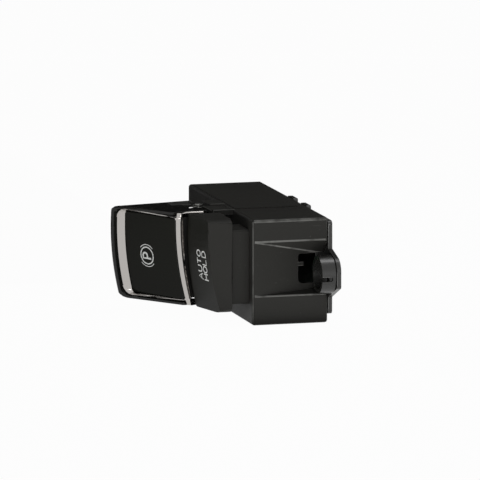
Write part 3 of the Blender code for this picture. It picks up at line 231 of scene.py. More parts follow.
def makeMaterial(name, ownLook):
    look = {**plainLook, "wearAndSheenColour": ownLook["colour"], "wearAndSheenRoughness": ownLook["roughness"], **ownLook}
    material = bpy.data.materials.new(name)
    material.use_nodes = True
    tree = material.node_tree
    shader = tree.nodes["Principled BSDF"]
    surface = addNode(tree, "ShaderNodeGroup", -450, 0)
    surface.node_tree = grainGroup
    surface.inputs["Colour"].default_value = (*look["colour"], 1)
    for socket in ("Roughness", "Grain", "Depth", "Haze"):
        surface.inputs[socket].default_value = look[socket.lower()]
    # this attribute marks rounded edges that get the worn colour, partly as wear and partly as a painted
    # highlight
    edge_wear_and_sheen = addNode(tree, "ShaderNodeAttribute", -700, -300)
    edge_wear_and_sheen.attribute_name = "edge_wear_and_sheen"
    wearAndSheenNode = addNode(tree, "ShaderNodeGroup", -170, 0)
    wearAndSheenNode.node_tree = wearAndSheenGroup
    wearAndSheenNode.inputs["Wear And Sheen Colour"].default_value = (*look["wearAndSheenColour"], 1)
    wearAndSheenNode.inputs["Wear And Sheen Roughness"].default_value = look["wearAndSheenRoughness"]
    for socket in ("Scratches", "Dust"):
        wearAndSheenNode.inputs[socket].default_value = look[socket.lower()]
    tree.links.new(surface.outputs["Colour"], wearAndSheenNode.inputs["Colour"])
    tree.links.new(surface.outputs["Roughness"], wearAndSheenNode.inputs["Roughness"])
    tree.links.new(edge_wear_and_sheen.outputs["Fac"], wearAndSheenNode.inputs["Edge Wear And Sheen"])
    tree.links.new(wearAndSheenNode.outputs["Colour"], shader.inputs["Base Color"])
    tree.links.new(wearAndSheenNode.outputs["Roughness"], shader.inputs["Roughness"])
    tree.links.new(surface.outputs["Normal"], shader.inputs["Normal"])
    shader.inputs["Metallic"].default_value = look["metallic"]
    shader.inputs["Specular IOR Level"].default_value = look["specular"]
    shader.inputs["Transmission Weight"].default_value = look["transmission"]
    return material


# A worn colour is the lighter colour of wear, scratches and dust, and also the painted highlight on rounded
# edges; for spring steel it is a painted glint on the return springs' leg ends.
finishes = {
    "housingPlastic": {
        "colour": (0.0205, 0.0202, 0.0184), "roughness": 0.5, "specular": 0.08,
        "grain": 3500, "depth": 0.5, "haze": 0.14,
        "wearAndSheenColour": (0.11, 0.11, 0.104), "wearAndSheenRoughness": 0.35, "scratches": 0.35, "dust": 0.3,
    },
    "coverPlastic": {
        "colour": (0.018, 0.018, 0.0168), "roughness": 0.32, "specular": 0.45,
        "grain": 3500, "depth": 0.3, "haze": 0.12,
        "wearAndSheenColour": (0.1, 0.1, 0.095), "scratches": 0.15, "dust": 0.2,
    },
    "sleevePlastic": {
        "colour": (0.01, 0.01, 0.0092), "roughness": 0.25, "grain": 2500, "depth": 0.15,
        "wearAndSheenColour": (0.1, 0.1, 0.096),
    },
    "hoodGloss": {
        "colour": (0.01, 0.01, 0.0086), "roughness": 0.12, "specular": 0.25,
        "grain": 600, "depth": 0.02, "haze": 0.06,
        "wearAndSheenColour": (0.03, 0.03, 0.028), "scratches": 0.15, "dust": 0.2,
    },
    "capGloss": {
        "colour": (0.0053, 0.0056, 0.0031), "roughness": 0.2, "specular": 0.08,
        "grain": 600, "depth": 0.02, "haze": 0.06,
        "wearAndSheenColour": (0.02, 0.02, 0.018), "dust": 0.15,
    },
    "holdSatin": {
        "colour": (0.0175, 0.0172, 0.0155), "roughness": 0.5, "specular": 0.1,
        "grain": 4200, "depth": 0.2,
        "wearAndSheenColour": (0.026, 0.026, 0.024), "dust": 0.15,
    },
    "holdLacquer": {
        "colour": (0.0052, 0.0055, 0.0036), "roughness": 0.35, "specular": 0.06,
        "grain": 1200, "depth": 0.05, "haze": 0.1,
        "wearAndSheenColour": (0.014, 0.014, 0.012), "dust": 0.1,
    },
    "carrierPlastic": {
        "colour": (0.017, 0.017, 0.0155), "roughness": 0.55, "specular": 0.2,
        "grain": 2600, "depth": 0.7, "wearAndSheenColour": (0.05, 0.05, 0.047),
    },
    "chrome": {
        "colour": (0.45, 0.43, 0.41), "roughness": 0.16, "metallic": 1,
        "grain": 900, "depth": 0.04, "haze": 0.1,
    },
    "steel": {"colour": (0.55, 0.55, 0.56), "roughness": 0.25, "metallic": 1, "grain": 5000, "depth": 0.1},
    # its worn colour is a painted glint on the return springs' leg ends
    "springSteel": {
        "colour": (0.16, 0.16, 0.15), "roughness": 0.3, "metallic": 1, "grain": 5000, "depth": 0.1,
        "wearAndSheenColour": (0.85, 0.85, 0.84), "wearAndSheenRoughness": 0.2,
    },
    "tinned": {"colour": (0.66, 0.62, 0.52), "roughness": 0.28, "metallic": 1, "grain": 4000, "depth": 0.1},
    "boardMask": {"colour": (0.015, 0.1, 0.04), "roughness": 0.35, "grain": 1500, "depth": 0.1},
    "slideWhite": {"colour": (0.72, 0.71, 0.67), "roughness": 0.4, "grain": 2500, "depth": 0.1, "haze": 0.1},
    "lightGuide": {
        "colour": (0.9, 0.92, 0.93), "roughness": 0.08, "transmission": 0.9,
        "grain": 900, "depth": 0.02, "haze": 0.05,
    },
    "chipPlastic": {"colour": (0.04, 0.04, 0.037), "roughness": 0.65, "grain": 6000, "depth": 0.5},
    "lampBody": {"colour": (0.75, 0.7, 0.45), "roughness": 0.35, "grain": 2000, "depth": 0.05},
    "signWhite": {"colour": (0.82, 0.83, 0.81), "roughness": 0.4, "grain": 4000, "depth": 0.05, "haze": 0.08},
}
paint = {name: makeMaterial(name, look) for name, look in finishes.items()}

nodePaint = {
    "housing": "housingPlastic",
    "rear_cover": "coverPlastic",
    "mounting_sleeve_near": "sleevePlastic",
    "mounting_sleeve_far": "sleevePlastic",
    "circuit_board": "boardMask",
    "control_chip": "chipPlastic",
    "hold_lamp": "lampBody",
    "p_lamp": "lampBody",
    "hold_light_guide": "lightGuide",
    "p_light_guide": "lightGuide",
    "hold_switch_body": "chipPlastic",
    "hold_switch_stem": "slideWhite",
    "hold_plunger": "slideWhite",
    "hold_spring": "steel",
    "pivot_pin": "springSteel",
    "return_spring_right": "steel",
    "return_spring_left": "steel",
    "shuttle_frame": "chipPlastic",
    "contact_shuttle": "slideWhite",
    "shuttle_contact": "tinned",
    "rocker_carrier": "carrierPlastic",
    "rocker_hood": "hoodGloss",
    "chrome_ring": "chrome",
    "rocker_cap": "capGloss",
    "hold_cap": "holdSatin",
}
for name, node in nodes.items():
    if name.startswith("board_screw"):
        look = "steel"
    elif name.startswith("contact_pin"):
        look = "tinned"
    else:
        look = nodePaint[name]
    node.data.materials.clear()
    node.data.materials.append(paint[look])
print("materials on", len(nodes), "nodes")

# Camera, light and floor

view = {
    "place": (2.0246, -0.5546, 0.3537),
    "looks": (-0.953317, 0.258408, -0.156262),
    "lens": 479,
    "sensor": 36,
    "reach": (0.05, 20),  # the nearest and farthest that it sees
}


def makeCamera():
    data = bpy.data.cameras.new("camera")
    data.lens = view["lens"]
    data.sensor_width = view["sensor"]
    data.clip_start, data.clip_end = view["reach"]
    camera = bpy.data.objects.new("camera", data)
    scene.collection.objects.link(camera)
    camera.location = view["place"]
    camera.rotation_euler = Vector(view["looks"]).to_track_quat("-Z", "Y").to_euler()
    scene.camera = camera


makeCamera()

lamps = {
    "key": {"place": (1.2, -0.1, 0.3), "size": 0.45, "power": 3.3},
    "top": {"place": (-0.05, 0.22, 0.9), "size": 0.3, "power": 1.15},
    "front": {"place": (-0.2, -1.0, 0.5), "size": 0.5, "power": 0.1},
}


def makeLamp(name, lamp):
    data = bpy.data.lights.new(name, "AREA")
    data.shape = "SQUARE"
    data.size = lamp["size"]
    data.energy = lamp["power"]
    light = bpy.data.objects.new(name, data)
    scene.collection.objects.link(light)
    light.location = lamp["place"]
    light.rotation_euler = (-Vector(lamp["place"])).to_track_quat("-Z", "Y").to_euler()


for name, lamp in lamps.items():
    makeLamp(name, lamp)

lightTable = {"place": (0.295, -0.06, 0.001), "size": (0.5, 0.6), "power": 1.6}


def makeLightTable(table):
    # the lit white ground before the switch, which throws light up under its ribs
    data = bpy.data.lights.new("light_table", "AREA")
    data.shape = "RECTANGLE"
    data.size, data.size_y = table["size"]
    data.energy = table["power"]
    light = bpy.data.objects.new("light_table", data)
    scene.collection.objects.link(light)
    light.location = table["place"]
    light.rotation_euler = (math.pi, 0, 0)
    light.visible_camera = False
    light.visible_glossy = False


makeLightTable(lightTable)

stageLook = {
    "floorSize": 6,
    "floorDrop": 0.00002,  # below the switch
    "floorColour": (0.8, 0.8, 0.8),
    "floorRoughness": 0.9,
    "floorWhite": 0.97,
    "worldLight": 0.18,
}


def showWhite(tree, white):
    # how much plain white the camera, reflections and clear plastic see
    rays = addNode(tree, "ShaderNodeLightPath", -600, 300)
    either = addNode(tree, "ShaderNodeMath", -400, 300)
    either.operation = "MAXIMUM"
    tree.links.new(rays.outputs["Is Camera Ray"], either.inputs[0])
    tree.links.new(rays.outputs["Is Glossy Ray"], either.inputs[1])
    third = addNode(tree, "ShaderNodeMath", -200, 300)
    third.operation = "MAXIMUM"
    tree.links.new(either.outputs[0], third.inputs[0])
    tree.links.new(rays.outputs["Is Transmission Ray"], third.inputs[1])
    amount = addNode(tree, "ShaderNodeMath", -50, 300)
    amount.operation = "MULTIPLY"
    amount.inputs[1].default_value = white
    tree.links.new(third.outputs[0], amount.inputs[0])
    return amount.outputs[0]


def makeWorld():
    world = bpy.data.worlds.new("studio")
    scene.world = world
    world.use_nodes = True
    tree = world.node_tree
    plain = tree.nodes["Background"]
    plain.inputs["Color"].default_value = (1, 1, 1, 1)
    plain.inputs["Strength"].default_value = stageLook["worldLight"]
    white = addNode(tree, "ShaderNodeBackground", 0, -200)
    white.inputs["Color"].default_value = (1, 1, 1, 1)
    mix = addNode(tree, "ShaderNodeMixShader", 200, 0)
    tree.links.new(showWhite(tree, 1), mix.inputs[0])
    tree.links.new(plain.outputs[0], mix.inputs[1])
    tree.links.new(white.outputs[0], mix.inputs[2])
    tree.links.new(mix.outputs[0], tree.nodes["World Output"].inputs["Surface"])


makeWorld()


def makeFloor():
    bpy.ops.object.select_all(action="DESELECT")
    bpy.ops.mesh.primitive_plane_add(size=stageLook["floorSize"], location=(0, 0, -stageLook["floorDrop"]))
    floor = bpy.context.active_object
    floor.name = "floor"
    material = bpy.data.materials.new("floor")
    material.use_nodes = True
    tree = material.node_tree
    shader = tree.nodes["Principled BSDF"]
    shader.inputs["Base Color"].default_value = (*stageLook["floorColour"], 1)
    shader.inputs["Roughness"].default_value = stageLook["floorRoughness"]
    white = addNode(tree, "ShaderNodeEmission", 0, -200)
    mix = addNode(tree, "ShaderNodeMixShader", 300, 0)
    tree.links.new(showWhite(tree, stageLook["floorWhite"]), mix.inputs[0])
    tree.links.new(shader.outputs[0], mix.inputs[1])
    tree.links.new(white.outputs[0], mix.inputs[2])
    tree.links.new(mix.outputs[0], tree.nodes["Material Output"].inputs["Surface"])
    floor.data.materials.append(material)


makeFloor()

# Black cards, as round a studio table: they are seen in reflections and take light off the far side.
cards = {
    "card_back": {"place": (-0.62, 0.17, 0.47), "size": (1.2, 0.9), "facing": (0.96, -0.26, 0)},
    "card_side": {"place": (-0.25, -0.7, 0.33), "size": (0.7, 0.6), "facing": (0.34, 0.94, 0)},
    "card_low": {"place": (-0.34, -0.12, 0.0004), "size": (0.56, 0.24), "facing": (0, 0, 1)},
}
cardColour = (0.03, 0.03, 0.03)


def makeCard(name, card):
    bpy.ops.object.select_all(action="DESELECT")
    bpy.ops.mesh.primitive_plane_add(size=1, location=card["place"])
    piece = bpy.context.active_object
    piece.name = name
    piece.scale = (*card["size"], 1)
    piece.rotation_euler = Vector(card["facing"]).to_track_quat("Z", "Y").to_euler()
    material = bpy.data.materials.new(name)
    material.use_nodes = True
    shader = material.node_tree.nodes["Principled BSDF"]
    shader.inputs["Base Color"].default_value = (*cardColour, 1)
    shader.inputs["Roughness"].default_value = 1
    shader.inputs["Specular IOR Level"].default_value = 0
    piece.data.materials.append(material)
    piece.visible_camera = False
    piece.visible_shadow = False


for name, card in cards.items():
    makeCard(name, card)

scene.view_settings.view_transform = "Standard"
print("camera, lamps, world and floor")

# Working tools

meshCleaning = {"merge": 0.000001, "flat": math.radians(0.4)}
# Rounded edges that face the two ends of the housing, and those high on the buttons, get the full lighter
# colour, partly as rubbed wear and partly as a painted highlight; the others get a little of it.
wearAndSheenPlaces = {"facing": 0.35, "height": 0.0055, "elsewhere": 0.2}
flatWalls = {"level": 0.9995, "smallest": 20}  # a level face may be this many times smaller


def selectOnly(piece):
    bpy.ops.object.select_all(action="DESELECT")
    piece.select_set(True)
    bpy.context.view_layer.objects.active = piece


def takeNode(name):
    # a merged copy of a CAD node, to be finished here in its place
    mesh = nodes[name].data.copy()
    piece = bpy.data.objects.new(name + "_shape", mesh)
    scene.collection.objects.link(piece)
    shape = bmesh.new()
    shape.from_mesh(mesh)
    bmesh.ops.remove_doubles(shape, verts=shape.verts, dist=meshCleaning["merge"])
    bmesh.ops.dissolve_limit(shape, angle_limit=meshCleaning["flat"], verts=shape.verts, edges=shape.edges)
    shape.to_mesh(mesh)
    shape.free()
    return piece


def useModifiers(piece):
    selectOnly(piece)
    for modifier in list(piece.modifiers):
        bpy.ops.object.modifier_apply(modifier=modifier.name)


def roundEdges(piece, width, segments=2, angle=30, shortest=0.0015, where=None, inner=False):
    # rounds the outer edges, or the inner ones, and marks the new faces for wear and for a painted highlight
    shape = bmesh.new()
    shape.from_mesh(piece.data)
    weight = shape.edges.layers.float.new("bevel_weight_edge")
    for edge in shape.edges:
        if len(edge.link_faces) == 2 and edge.is_convex != inner and edge.calc_length() > shortest:
            if edge.calc_face_angle(0) > math.radians(angle) and (where is None or where(edge)):
                edge[weight] = 1
    shape.to_mesh(piece.data)
    shape.free()
    piece.data.materials.clear()
    for slot in range(2):  # the bevel marks its faces with the second one
        piece.data.materials.append(None)
    for face in piece.data.polygons:
        face.material_index = 0
    bevel = piece.modifiers.new("roundEdges", "BEVEL")
    bevel.width = width
    bevel.segments = segments
    bevel.limit_method = "WEIGHT"
    bevel.use_clamp_overlap = False
    bevel.material = 1
    useModifiers(piece)
    edge_wear_and_sheen = piece.data.attributes.get("edge_wear_and_sheen") or piece.data.attributes.new("edge_wear_and_sheen", "FLOAT", "FACE")
    for index, face in enumerate(piece.data.polygons):
        if face.material_index == 1:
            high = placeOf(face.center)[1] > wearAndSheenPlaces["height"]
            markedAndLit = abs(face.normal.x) > wearAndSheenPlaces["facing"] or high
            edge_wear_and_sheen.data[index].value = 1 if markedAndLit else wearAndSheenPlaces["elsewhere"]
        face.material_index = 0
    spare = piece.data.attributes.get("bevel_weight_edge")
    if spare:
        piece.data.attributes.remove(spare)


def keepFlat(piece, area):
    # the big flat walls stay flat, so the rounded edges do not shade them
    for face in piece.data.polygons:
        level = max(abs(value) for value in face.normal)
        enough = face.area > area / flatWalls["smallest"]
        if face.area > area or (level > flatWalls["level"] and enough):
            face.use_smooth = False


def smooth(piece, angle, flatArea=None):
    selectOnly(piece)
    bpy.ops.object.shade_smooth_by_angle(angle=math.radians(angle))
    if flatArea:
        keepFlat(piece, flatArea)
    flats = piece.modifiers.new("flats", "WEIGHTED_NORMAL")
    flats.keep_sharp = True
    useModifiers(piece)


def setPaint(piece, look):
    piece.data.materials.clear()
    piece.data.materials.append(paint[look])


bodies = frame["record"]["behaviour"]["bodies"]
bodyOf = {node: body for body, carried in bodies.items() for node in carried}


def finishPiece(piece, node, look):
    setPaint(piece, look)
    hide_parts(node)
    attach(piece, bodyOf[node])


# Mouldings with their edges rounded as the tool leaves them

mouldings = {
    "housing": {
        "look": "housingPlastic", "slot": "matte_black", "edge": 0.00016, "angle": 40, "flatArea": 0.000055,
    },
    "rear_cover": {
        "look": "coverPlastic", "slot": "matte_black", "edge": 0.00015, "angle": 30, "flatArea": 0.000055,
    },
    "mounting_sleeve_near": {"look": "sleevePlastic", "slot": "matte_black", "edge": 0.00012, "angle": 30},
    "mounting_sleeve_far": {"look": "sleevePlastic", "slot": "matte_black", "edge": 0.00012, "angle": 30},
    "rocker_hood": {"look": "hoodGloss", "slot": "gloss_black", "edge": 0.00015, "angle": 40},
    "rocker_carrier": {"look": "carrierPlastic", "slot": "inner_black", "edge": 0.00015, "angle": 35},
    "rocker_cap": {"look": "capGloss", "slot": "gloss_black", "edge": 0.0002, "angle": 35},
    "chrome_ring": {
        "look": "chrome", "slot": "satin_chrome", "edge": 0.00035, "segments": 3, "angle": 35,
    },
    "hold_cap": {
        "look": "holdSatin", "slot": "satin_black", "edge": 0.00025, "segments": 3, "angle": 35,
    },
}
mouldingSmooth = 32

# The screw ramp in each end wall, and the edges that shine in the light, whose rounds are also painted
# lighter as a highlight
ramp = {
    "edges": (0.0097, 0.0275),  # w of its lower and upper edge
    "wallSpread": 0.00002,  # how far from its place an edge may still be taken
    "edgeSpread": 0.0003,
    "edgeRise": 0.001,
    "edgeRound": 0.0004,
    "edgeSegments": 3,
    "footBand": (0.022, 0.028),  # w of the line along the foot of its upper wall
    "footStart": 0.0005,
    "footEnd": 0.003,
    "footRound": 0.0003,
    "footSegments": 2,
    "angle": 30,
}
brightEdges = {
    "end": 0.0006,
    "top": 0.034,
    "neck": (0.0042, 0.0054),  # s of the neck's near wall
    "neckLow": 0.0076,
    "neckHigh": 0.0302,
    "rise": 0.0005,
    "round": 0.00028,
    "segments": 3,
    "angle": 20,
}


padRise = 0.0001  # less than the raised pad on the long side stands out


def riseOf(edge):
    return abs(edge.verts[0].co.z - edge.verts[1].co.z)


def fromEnd(s):
    return min(s, switch["length"] - s)


def onRampEdge(edge):
    # the two edges where each end wall drops into its screw ramp
    for vertex in edge.verts:
        s, h, w = placeOf(vertex.co)
        away = min(abs(w - height) for height in ramp["edges"])
        if fromEnd(s) >= ramp["wallSpread"] or away > ramp["edgeSpread"]:
            return False
    return riseOf(edge) < ramp["edgeRise"]


def onRampFoot(edge):
    # the slanted line along the foot of the ramp's upper wall; its inner round is painted lighter as a
    # highlight
    places = [placeOf(vertex.co) for vertex in edge.verts]
    ends = [fromEnd(s) for s, h, w in places]
    low, high = ramp["footBand"]
    crosses = max(ends) > ramp["footEnd"] and min(ends) < ramp["footStart"]
    return crosses and all(low < w < high and h < 0 for s, h, w in places)


def onBrightEdge(edge):
    # the top edge of each end wall, and the edges of the neck's near wall, whose rounds are painted lighter
    # as highlights
    low, high = brightEdges["neck"]
    for vertex in edge.verts:
        s, h, w = placeOf(vertex.co)
        onTop = fromEnd(s) < brightEdges["end"] and w > brightEdges["top"]
        onRim = w > brightEdges["neckHigh"] or w < brightEdges["neckLow"]
        if not (onTop or (low < s < high and h > 0 and onRim)):
            return False
    return riseOf(edge) < brightEdges["rise"]


def offPad(edge):
    # the raised pad keeps its crisp rim
    return any(vertex.co.z <= switch["width"] + padRise for vertex in edge.verts)


lacquer = {"facing": -0.88, "depth": 0.0006}


def lacquerFace(piece):
    # the pressed face is lacquered, the skirt round it is as moulded
    piece.data.materials.append(paint["holdLacquer"])
    for face in piece.data.polygons:
        s, h, w = placeOf(face.center)
        if face.normal.y < lacquer["facing"] and h > faceHeight("hold", s, w) - lacquer["depth"]:
            face.material_index = 1


def makeMouldings():
    for name, sizes in mouldings.items():
        piece = takeNode(name)
        if name == "housing":
            roundEdges(piece, ramp["edgeRound"], ramp["edgeSegments"], ramp["angle"], where=onRampEdge)
            roundEdges(piece, ramp["footRound"], ramp["footSegments"], ramp["angle"],
                       where=onRampFoot, inner=True)
            roundEdges(piece, brightEdges["round"], brightEdges["segments"], brightEdges["angle"],
                       where=onBrightEdge)
        roundEdges(piece, sizes["edge"], sizes.get("segments", 2), sizes["angle"], where=offPad)
        smooth(piece, mouldingSmooth, sizes.get("flatArea"))
        finishPiece(piece, name, sizes["look"])
        if name == "hold_cap":
            lacquerFace(piece)
    print("mouldings:", len(mouldings))


makeMouldings()

# Return springs: a turn of wire round each end of the pivot pin

returnSpring = {
    "pivot": (0.0412, 0.0076),
    "wire": 0.0006,
    "coil": 0.00165,  # to the middle of the wire
    "inner": 0.03334,  # w of the coil's two ends
    "outer": 0.03445,
    "turns": 1,
    "steps": 44,
    "rise": math.radians(41),
    "foot": 0.0036,
    "leg": 0.0076,
    "upperTip": (0.0335, 0.0128),
    "upperWidth": 1.5,  # times the wire: the end is pressed flat, and its last part is painted bright as a glint
    "lowerTip": (0.0334, 0.012),
    "lowerWidth": 1,
    "glintFrom": 0.8,  # of the leg: from here to the leg's end the wire is painted bright as a glint
    "sides": 4,
}
wireSmooth = 50


def makeWire(name, points, thickness, widths, sides):
    curve = bpy.data.curves.new(name, "CURVE")
    curve.dimensions = "3D"
    curve.bevel_depth = thickness / 2
    curve.bevel_resolution = sides
    curve.use_fill_caps = True
    spline = curve.splines.new("POLY")
    spline.points.add(len(points) - 1)
    for point, place, width in zip(spline.points, points, widths):
        point.co = (*place, 1)
        point.radius = width
    piece = bpy.data.objects.new(name, curve)
    scene.collection.objects.link(piece)
    selectOnly(piece)
    bpy.ops.object.convert(target="MESH")
    piece = bpy.context.active_object
    smooth(piece, wireSmooth)
    return piece


def makeReturnSpring(node, upper):
    spring = returnSpring
    s, h = spring["pivot"]
    radius, steps = spring["coil"], spring["steps"]
    start, total = -math.pi / 2, 2 * math.pi * spring["turns"] + spring["rise"]
    path = [(s + spring["foot"], h - radius, spring["inner"])]
    for step in range(steps + 1):
        turn = start - total * step / steps
        path.append((s + radius * math.cos(turn), h + radius * math.sin(turn),
                     spring["inner"] + (spring["outer"] - spring["inner"]) * step / steps))
    legS, legH, legW = path[-1]
    along = (math.sin(start - total) * spring["leg"], -math.cos(start - total) * spring["leg"])
    path.append((legS + along[0], legH + along[1], legW))
    path.append((*spring["upperTip" if upper else "lowerTip"], legW))
    width = spring["upperWidth" if upper else "lowerWidth"]
    widths = [1] * (len(path) - 2) + [(1 + width) / 2, width]
    middle = switch["moduleMiddle"]
    points = [at(a, b, w if upper else 2 * middle - w) for a, b, w in path]
    piece = makeWire(node + "_wire", points, spring["wire"], widths, spring["sides"])
    # the leg's last part gets the spring steel's light worn colour, a painted glint
    edge_wear_and_sheen = piece.data.attributes.new("edge_wear_and_sheen", "FLOAT", "FACE")
    glintS = legS - spring["leg"] * spring["glintFrom"]
    for index, face in enumerate(piece.data.polygons):
        edge_wear_and_sheen.data[index].value = 1 if placeOf(face.center)[0] < glintS else 0
    finishPiece(piece, node, "springSteel")


makeReturnSpring("return_spring_right", True)
makeReturnSpring("return_spring_left", False)
print("return springs")

# Spring under the hold button, between the board and the plunger

holdSpring = {
    "middle": (0.0115, 0.013),  # s and w
    "back": -0.01570,
    "front": -0.00930,
    "radius": 0.00188,
    "wire": 0.00048,
    "turns": 5,
    "steps": 28,  # to a turn
    "flatTurns": 0.6,  # at each end, as ground ends lie
    "press": 0.0012,
    "sides": 3,
}


def makeHoldSpring():
    spring = holdSpring
    s, w = spring["middle"]
    back, front = spring["back"] + spring["wire"] / 2, spring["front"] - spring["wire"] / 2
    turns, steps, flat = spring["turns"], spring["steps"], spring["flatTurns"]
    path = []
    for step in range(turns * steps + 1):
        turn = 2 * math.pi * step / steps
        climb = min(max((step / steps - flat) / (turns - 2 * flat), 0), 1)
        path.append(at(s + spring["radius"] * math.cos(turn), back + (front - back) * climb,
                       w + spring["radius"] * math.sin(turn)))
    piece = makeWire("hold_spring_wire", path, spring["wire"], [1] * len(path), spring["sides"])
    finishPiece(piece, "hold_spring", "springSteel")
    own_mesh(piece)


makeHoldSpring()
print("hold spring")

# Keys and latch of the plug socket

plugSocket = {
    "keys": (0.0536, 0.0659),  # s of the two ribs
    "keyWidth": 0.0011,
    "keyRise": 0.0009,
    "wallLow": 0.0098,
    "wallHigh": 0.0275,
    "back": -0.0374,
    "foot": -0.0284,
    "latch": (0.0572, 0.0623),
    "latchBack": -0.0362,
    "latchFront": -0.0328,
    "latchRise": 0.0011,
    "latchSlope": 0.0022,
    "sunk": 0.0002,  # into the wall it grows from
    "round": 0.00018,
    "segments": 3,
    "smooth": 40,
}


def makeBlock(name, low, high, slope=0):
    # low and high are (s, h, w); a slope moves the outer back edge forward, as a lead-in
    first, second = at(*low), at(*high)
    bpy.ops.object.select_all(action="DESELECT")
    bpy.ops.mesh.primitive_cube_add(size=1, location=(first + second) / 2)
    piece = bpy.context.active_object
    piece.name = name
    piece.scale = [abs(value) for value in second - first]
    bpy.ops.object.transform_apply(location=True, rotation=True, scale=True)
    if slope:
        bpy.ops.object.mode_set(mode="EDIT")
        bpy.ops.mesh.select_all(action="DESELECT")
        bpy.ops.object.mode_set(mode="OBJECT")
        for vertex in piece.data.vertices:
            s, h, w = placeOf(vertex.co)
            vertex.select = h < (low[1] + high[1]) / 2 and w > (low[2] + high[2]) / 2
        bpy.ops.object.mode_set(mode="EDIT")
        bpy.ops.transform.translate(value=(0, -slope, 0))
        bpy.ops.object.mode_set(mode="OBJECT")
    roundEdges(piece, plugSocket["round"], plugSocket["segments"], shortest=0)
    smooth(piece, plugSocket["smooth"])
    setPaint(piece, "coverPlastic")
    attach(piece, "housing")


def makePlugSocket():
    socket = plugSocket
    for index, middle in enumerate(socket["keys"], 1):
        makeBlock(f"plug_key_{index}",
                  (middle - socket["keyWidth"] / 2, socket["back"], socket["wallLow"] - socket["sunk"]),
                  (middle + socket["keyWidth"] / 2, socket["foot"], socket["wallLow"] + socket["keyRise"]))
    near, far = socket["latch"]
    makeBlock("plug_latch",
              (near, socket["latchBack"], socket["wallHigh"] - socket["sunk"]),
              (far, socket["latchFront"], socket["wallHigh"] + socket["latchRise"]),
              socket["latchSlope"])


makePlugSocket()
print("plug socket")

# Signs, printed on the crowned faces

parkSign = {
    "middle": (0.0337, 0.0192),  # s and w on the face
    "lean": math.cos(math.radians(30)),  # the face climbs, so the sign is shorter along s
    "ring": 0.0028,
    "ringStroke": 0.00043,
    "arc": 0.0037,
    "arcStroke": 0.00026,
    "arcHalfAngle": 48,
    "ringSteps": 64,
    "arcSteps": 16,
    "letterHeight": 0.0036,
    "letterWidth": 0.0025,
    "letterStroke": 0.00064,
}
holdSign = {
    "middle": (0.0092, 0.0193),
    "lean": 1,
    "pitch": 0.0036,  # between the two lines
    "letterHeight": 0.0026,
    "letterWidth": 0.00192,
    "letterStep": 0.00253,
    "stroke": 0.00042,
}
ink = {
    "rise": 0.15,  # of the stroke's half width
    "sides": 2,
    "smooth": 60,
    "closed": 0.0000001,  # ends nearer than this are one
}


def arcPoints(middle, radii, start, end, count=10):
    turns = [math.radians(start + (end - start) * i / count) for i in range(count + 1)]
    return [(middle[0] + radii[0] * math.cos(turn), middle[1] + radii[1] * math.sin(turn)) for turn in turns]


def letterStrokes(letter):
    # strokes of the letter in a box one wide and one high, from its lower left corner
    if letter == "A":
        return [[(0, 0), (0.5, 1), (1, 0)], [(0.2, 0.36), (0.8, 0.36)]]
    if letter == "U":
        return [[(0, 1)] + arcPoints((0.5, 0.36), (0.5, 0.36), 180, 360) + [(1, 1)]]
    if letter == "T":
        return [[(0, 1), (1, 1)], [(0.5, 1), (0.5, 0)]]
    if letter == "O":
        return [arcPoints((0.5, 0.5), (0.52, 0.5), 0, 360, 24)]
    if letter == "H":
        return [[(0, 0), (0, 1)], [(1, 0), (1, 1)], [(0, 0.5), (1, 0.5)]]
    if letter == "L":
        return [[(0, 1), (0, 0), (0.9, 0)]]
    if letter == "D":
        return [[(0, 0), (0, 1), (0.4, 1)] + arcPoints((0.4, 0.5), (0.6, 0.5), 90, -90) + [(0, 0)]]
    return [[(0, 0), (0, 1), (0.5, 1)] + arcPoints((0.5, 0.73), (0.5, 0.27), 90, -90) + [(0, 0.46)]]  # P


def placeLetter(letter, corner, width, height):
    left, low = corner
    return [[(left + x * width, low + y * height) for x, y in stroke] for stroke in letterStrokes(letter)]


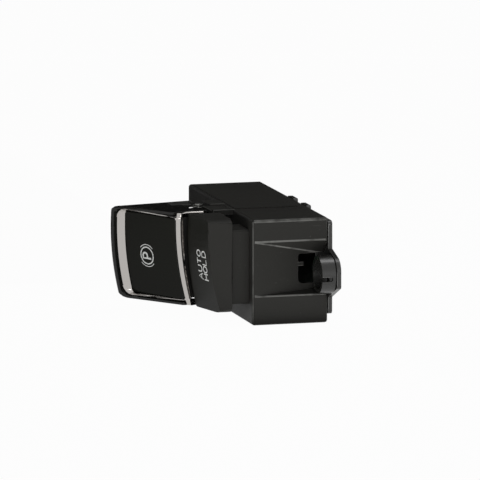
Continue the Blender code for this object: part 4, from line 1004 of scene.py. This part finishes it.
def printStrokes(name, groups, button, sign, body):
    # groups are (strokes, stroke width) in reading and letter-up directions, made flat ink on the face
    parts = []
    for strokes, width in groups:
        curve = bpy.data.curves.new(name, "CURVE")
        curve.dimensions = "3D"
        curve.bevel_depth = width / 2
        curve.bevel_resolution = ink["sides"]
        curve.use_fill_caps = True
        for stroke in strokes:
            closed = (Vector(stroke[0]) - Vector(stroke[-1])).length < ink["closed"]
            points = stroke[:-1] if closed else stroke
            spline = curve.splines.new("POLY")
            spline.points.add(len(points) - 1)
            for point, (across, up) in zip(spline.points, points):
                point.co = (across, up, 0, 1)
            spline.use_cyclic_u = closed
        piece = bpy.data.objects.new(name, curve)
        scene.collection.objects.link(piece)
        parts.append(piece)
    bpy.ops.object.select_all(action="DESELECT")
    for piece in parts:
        piece.select_set(True)
    bpy.context.view_layer.objects.active = parts[0]
    bpy.ops.object.convert(target="MESH")
    if len(parts) > 1:
        bpy.ops.object.join()
    piece = bpy.context.active_object
    piece.name = name
    middleS, middleW = sign["middle"]
    for vertex in piece.data.vertices:
        across, up, out = vertex.co
        s = middleS + up * sign["lean"]
        w = middleW + across
        vertex.co = at(s, faceHeight(button, s, w) + out * ink["rise"], w)
    smooth(piece, ink["smooth"])
    setPaint(piece, "signWhite")
    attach(piece, body)


def makeParkSign():
    sign = parkSign
    half = sign["arcHalfAngle"]
    ring = arcPoints((0, 0), (sign["ring"], sign["ring"]), 0, 360, sign["ringSteps"])
    arcs = [arcPoints((0, 0), (sign["arc"], sign["arc"]), side - half, side + half, sign["arcSteps"])
            for side in (0, 180)]
    corner = (-sign["letterWidth"] / 2 + sign["letterStroke"] / 2, -sign["letterHeight"] / 2)
    letter = placeLetter("P", corner, sign["letterWidth"] - sign["letterStroke"], sign["letterHeight"])
    groups = [([ring], sign["ringStroke"]), (arcs, sign["arcStroke"]), (letter, sign["letterStroke"])]
    printStrokes("park_sign", groups, "park", sign, "rocker")


def makeHoldSign():
    sign = holdSign
    strokes = []
    for line, word in enumerate(("AUTO", "HOLD")):
        low = sign["pitch"] * (0.5 - line) - sign["letterHeight"] / 2
        for index, letter in enumerate(word):
            left = (index - 1.5) * sign["letterStep"] - sign["letterWidth"] / 2
            strokes += placeLetter(letter, (left, low), sign["letterWidth"], sign["letterHeight"])
    printStrokes("hold_sign", [(strokes, sign["stroke"])], "hold", sign, "hold_button")


makeParkSign()
makeHoldSign()
print("signs on both buttons")
